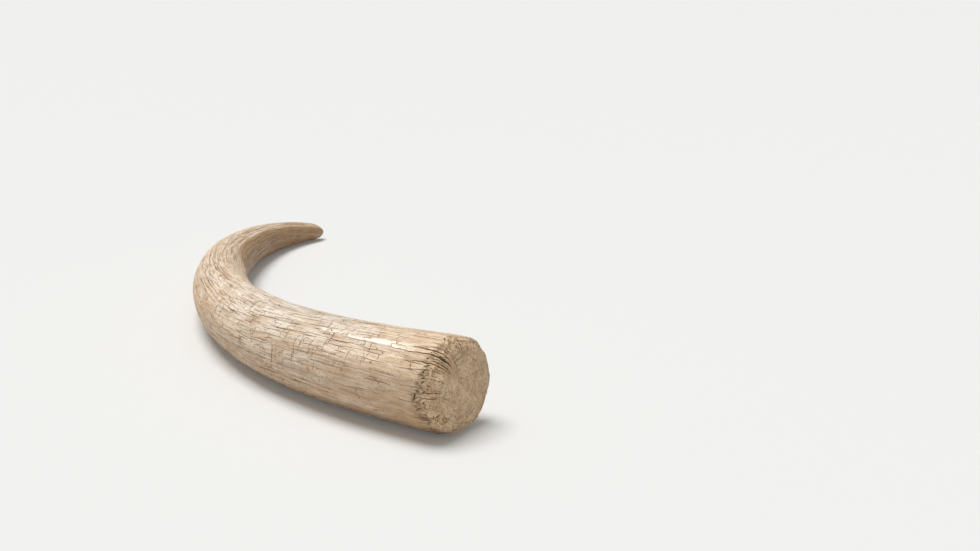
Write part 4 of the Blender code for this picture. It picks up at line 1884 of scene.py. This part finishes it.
@dataclass
class WeatheredTusk:
    """The tusk as one closed mesh: skin, tip and broken face."""

    form: TuskForm
    rim: ChippedRim = field(default_factory=ChippedRim)
    finish: IvoryFinish = field(default_factory=IvoryFinish)
    patina: BendShadeAndTipPatina = field(default_factory=BendShadeAndTipPatina)
    name: str = "cracked_ivory_tusk"
    sway: float = 0.0050
    sway_waves: float = 9.0
    ripple: float = 0.0022
    ripple_size: Range = (0.10, 0.030)
    texture_side: float = 1.16
    texture_margin: float = 0.012
    texture_cut: float = 0.96
    sharp_from: float = math.radians(38)

    def grain_place(self, along: Array, angle: Array, radius: Array) -> Array:
        """Places on the straightened tusk, turned so that lines along them follow the wandering grain.

        Args:
            along: distances from the broken face.
            angle: angles round the tusk.
            radius: distances from the middle line.

        Returns:
            One row of three coordinates for each point.
        """
        shift = self.sway * np.sin(self.sway_waves * along + angle)
        shift = shift + self.ripple * grain_noise(along, angle, radius, self.ripple_size)
        turned = angle - shift / self.form.base_radius
        return np.stack([along, radius * np.cos(turned), radius * np.sin(turned)], axis=-1)

    def texture_place(self, corners: Array) -> Array:
        """Where the skin lies on its texture: the thick half below, the thin half above it.

        Args:
            corners: each triangle's three corners, in distances along and round the tusk.

        Returns:
            The same in shares of the texture's side.
        """
        upper = corners[:, :, 0].mean(axis=1) > self.texture_cut
        width = FULL_TURN * self.form.base_radius
        u = corners[:, :, 0] - self.texture_cut * upper[:, None] + self.texture_margin
        rise = width + 2 * self.texture_margin + math.pi * float(self.form.radius(self.texture_cut))
        v = corners[:, :, 1] + np.where(upper, rise, width / 2)[:, None] + self.texture_margin
        return np.stack([u, v], axis=-1) / self.texture_side

    def face_texture_place(self, corners: Array) -> Array:
        """Where the broken face lies on the texture, beside the tapering end of the skin."""
        middle = self.texture_side - self.form.base_radius - self.texture_margin / 2
        return (corners + middle) / self.texture_side

    def joined(self, points: Array, triangles: Array) -> Array:
        """Joins the sheet's long edges, and its end at the tip.

        Args:
            points: the sheet's points, in distances along and round the tusk.
            triangles: its triangles.

        Returns:
            The number that stands for each point.
        """
        form = self.form
        numbers = np.arange(len(points))
        half = math.pi * form.radius(points[:, 0])
        low, high = (np.flatnonzero(np.abs(points[:, 1] - edge) < 5 * SAME_PLACE) for edge in (-half, half))
        if len(low) != len(high):
            raise ValueError(f"the sheet's long edges have {len(low)} and {len(high)} points")
        numbers[low[np.argsort(points[low, 0])]] = high[np.argsort(points[high, 0])]
        pole = np.flatnonzero(points[:, 0] > form.axis_length - SAME_PLACE)
        numbers[pole] = pole[0]
        return numbers

    def skin_surface(self) -> tuple[Surface, RimRing]:
        """Builds the skin, and finds the rim that the broken face fills.

        Returns:
            The skin and its rim.
        """
        form, rim = self.form, self.rim
        skin = TuskSkin(form, rim)
        sheet, flat, triangles = skin.sheet()
        along, radius = flat[:, 0], form.radius(flat[:, 0])
        angle = flat[:, 1] / radius
        depth, stain = sheet.relief(flat)
        sunk = depth + rim.sunk(along, angle, radius) + skin.ripples(along, angle)
        corners = self.joined(flat, triangles)[triangles]
        whole = np.all(corners != np.roll(corners, 1, axis=1), axis=1)
        log.info("skin: %d points, %d triangles, %d cracks", len(flat), whole.sum(), len(sheet.cracks))
        surface = Surface(
            points=form.wrapped(along, angle, sunk, rim.pushed(along, angle)),
            corners=corners[whole],
            along=along,
            angle=angle,
            radius=radius * form.rounding(along),
            textures=self.texture_place(flat[triangles[whole]]),
            stored={
                "crack_stain": stain,
                "broken_share": rim.bareness(along, angle),
                "turned_up": 0.5 + 0.5 * np.cos(angle),
                "patina": self.patina.share(form, along, angle),
            },
        )
        used = np.unique(surface.corners)
        ring = used[np.abs(along[used]) < SAME_PLACE]
        ring = ring[np.argsort(angle[ring])]
        swollen = radius[ring] + form.swelling(along[ring], angle[ring])
        ring_radius = swollen - sunk[ring] - form.skin_allowance
        return surface, RimRing(ring, angle[ring], ring_radius, skin.openings(sheet.cracks))

    def face_surface(self, ring: RimRing, first: int) -> Surface:
        """Builds the broken face inside the rim.

        Args:
            ring: the skin's points at the rim. They stand for the first points of the face's own sheet.
            first: the number of the face's first point in the mesh.

        Returns:
            The face.
        """
        face = BrokenFace(self.form)
        rim_points = np.column_stack(off_middle(ring.radius, ring.angle))
        sheet, flat, triangles = face.sheet(rim_points, ring.openings)
        count = len(flat)
        depth, stain = sheet.relief(flat)
        angle, radius = np.arctan2(flat[:, 0], flat[:, 1]), np.hypot(flat[:, 0], flat[:, 1])
        room = np.interp(angle, ring.angle, ring.radius, period=FULL_TURN) - radius
        retreat = self.rim.pushed(np.zeros(count), angle)
        behind = face.relief(flat, np.maximum(room, 0), retreat) + depth
        middle_height = np.full(count, self.form.base_radius)
        numbers = first + np.arange(count)
        numbers[: len(ring.numbers)] = ring.numbers
        log.info("broken face: %d points, %d triangles", count, len(triangles))
        return Surface(
            points=self.form.on_section(behind, middle_height, flat[:, 0], flat[:, 1]),
            corners=numbers[triangles],
            along=behind,
            angle=angle,
            radius=radius,
            textures=self.face_texture_place(flat[triangles]),
            stored={
                "crack_stain": stain,
                "broken_share": np.ones(count),
                "turned_up": np.full(count, 0.5),
                "patina": np.zeros(count),
            },
        )

    def build(self) -> bpy.types.Object:
        """Builds the mesh, its stored values and its material.

        Returns:
            The dressed tusk.
        """
        skin, ring = self.skin_surface()
        whole = Surface.together(skin, self.face_surface(ring, len(skin.points)))
        places = self.grain_place(whole.along, whole.angle, whole.radius)
        corners, textures = self.turned_out(whole, len(skin.corners))
        used, compact = np.unique(corners, return_inverse=True)
        points = whole.points[used] - [0, 0, whole.points[used, 2].min()]
        mesh = bpy.data.meshes.new(self.name)
        mesh.from_pydata(points.tolist(), [], compact.reshape(corners.shape).tolist())
        for name, values in whole.stored.items():
            data = mesh.attributes.new(name, "FLOAT", "POINT").data
            data.foreach_set("value", values[used].astype(np.float32))
        vectors = mesh.attributes.new("grain_place", "FLOAT_VECTOR", "POINT")
        vectors.data.foreach_set("vector", places[used].astype(np.float32).ravel())
        mesh.uv_layers.new(name="OFBake").data.foreach_set("uv", textures.astype(np.float32).ravel())
        mesh.shade_smooth()
        mesh.set_sharp_from_angle(angle=self.sharp_from)
        mesh.materials.append(self.finish.material())
        return placed(self.name, mesh)

    def turned_out(self, whole: Surface, skin_count: int) -> tuple[Array, Array]:
        """Turns the skin's and the face's triangles so that they face out.

        Args:
            whole: the skin and the face together.
            skin_count: how many of its triangles are the skin's, which come first.

        Returns:
            The corner numbers and texture places in the right order.
        """
        corners, textures = whole.corners.copy(), whole.textures.copy()
        a, b, c = (whole.points[corners[:, k]] for k in range(3))
        normals = np.cross(b - a, c - a)
        upper = a[:skin_count, 2] > 1.6 * self.form.radius(self.form.axis_length / 2)
        heading = self.form.base_heading
        outward = np.array([-math.cos(heading), -math.sin(heading), 0.0])
        checks = (
            (slice(0, skin_count), normals[:skin_count][upper][:, 2].sum()),
            (slice(skin_count, len(corners)), (normals[skin_count:] @ outward).sum()),
        )
        for part, facing in checks:
            if facing < 0:
                corners[part] = corners[part][:, ::-1]
                textures[part] = textures[part][:, ::-1]
        return corners, textures


@dataclass(frozen=True)
class PaleFloor:
    """A plain pale floor that runs out of sight."""

    side: float = 40.0
    colour: Colour = (0.690, 0.690, 0.677, 1.0)

    def build(self) -> bpy.types.Object:
        """Builds the floor.

        Returns:
            The floor.
        """
        half = self.side / 2
        mesh = bpy.data.meshes.new("pale_floor")
        corners = [(-half, -half, 0.0), (half, -half, 0.0), (half, half, 0.0), (-half, half, 0.0)]
        mesh.from_pydata(corners, [], [(0, 1, 2, 3)])
        material = bpy.data.materials.new("pale floor")
        inputs = NodeGraph(material).shader.inputs
        inputs["Base Color"].default_value = self.colour
        inputs["Roughness"].default_value = 0.9
        inputs["Specular IOR Level"].default_value = 0.1
        mesh.materials.append(material)
        floor = placed("pale_floor", mesh)
        return floor


@dataclass(frozen=True)
class Lamp:
    """A distant lamp: where it shines from, its strength, how wide it looks and whether it casts shadows."""

    name: str
    shines_from: tuple[float, float, float]
    strength: float
    width: float
    casts_shadows: bool = True

    def build(self) -> None:
        """Adds the lamp."""
        lamp = bpy.data.lights.new(self.name, "SUN")
        lamp.energy = self.strength
        lamp.angle = self.width
        lamp.use_shadow = self.casts_shadows
        made = placed(self.name, lamp)
        made.rotation_euler = Vector(self.shines_from).to_track_quat("Z", "Y").to_euler()


@dataclass(frozen=True)
class StudioLight:
    """A broad lamp overhead, a small one behind for the gleam, and a surround that is brighter overhead."""

    overhead: Lamp = Lamp("broad_lamp", (-0.21, 0.05, 1.0), 2.72, math.radians(34))
    behind: Lamp = Lamp("gleam_lamp", (-0.72, 0.42, 1.0), 0.56, math.radians(17), casts_shadows=False)
    surround: Range = (0.05, 0.43)

    def build(self) -> None:
        """Adds the lamps and the surround."""
        self.overhead.build()
        self.behind.build()
        world = bpy.data.worlds.new("pale_surround")
        graph = NodeGraph(world)
        background = graph.tree.nodes["Background"]
        background.inputs["Color"].default_value = (1.0, 1.0, 0.99, 1.0)
        direction = graph.node("ShaderNodeTexCoord", {}, {}, "Generated")
        height = graph.node("ShaderNodeSeparateXYZ", {}, {0: direction}, "Z")
        graph.feed(background.inputs["Strength"], between(self.surround, height))
        bpy.context.scene.world = world
        bpy.context.scene.view_settings.view_transform = "Standard"


@dataclass(frozen=True)
class PhotoCamera:
    """The camera at the photograph's place and angle, measured from the middle of the broken face."""

    from_face: Place = (0.05207, -2.40264)
    height: float = 1.003
    pitch_down: float = math.radians(15.66)
    lens: float = 48.05
    sensor_width: float = 36.0

    def build(self, base_place: Place) -> None:
        """Adds the camera and makes it the scene's own.

        Args:
            base_place: x and y of the middle of the broken face.
        """
        data = bpy.data.cameras.new("photo_camera")
        data.lens = self.lens
        data.sensor_width = self.sensor_width
        camera = placed("photo_camera", data)
        camera.location = (base_place[0] + self.from_face[0], base_place[1] + self.from_face[1], self.height)
        camera.rotation_euler = (math.pi / 2 - self.pitch_down, 0.0, 0.0)
        bpy.context.scene.camera = camera


def main() -> None:
    """Builds the camera, the light, the floor and the tusk."""
    logging.basicConfig(level=logging.INFO, format="%(name)s: %(message)s")
    face_middle = frame["record"]["mounts"][0]["pos_m"]
    base_place = (face_middle[0], face_middle[1])
    PhotoCamera().build(base_place)
    StudioLight().build()
    PaleFloor().build()
    tusk = WeatheredTusk(TuskForm(base_place)).build()
    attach(tusk, "root")
    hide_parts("tusk")
    log.info("%s: %d triangles", tusk.name, len(tusk.data.polygons))


if __name__ == "__main__":
    main()
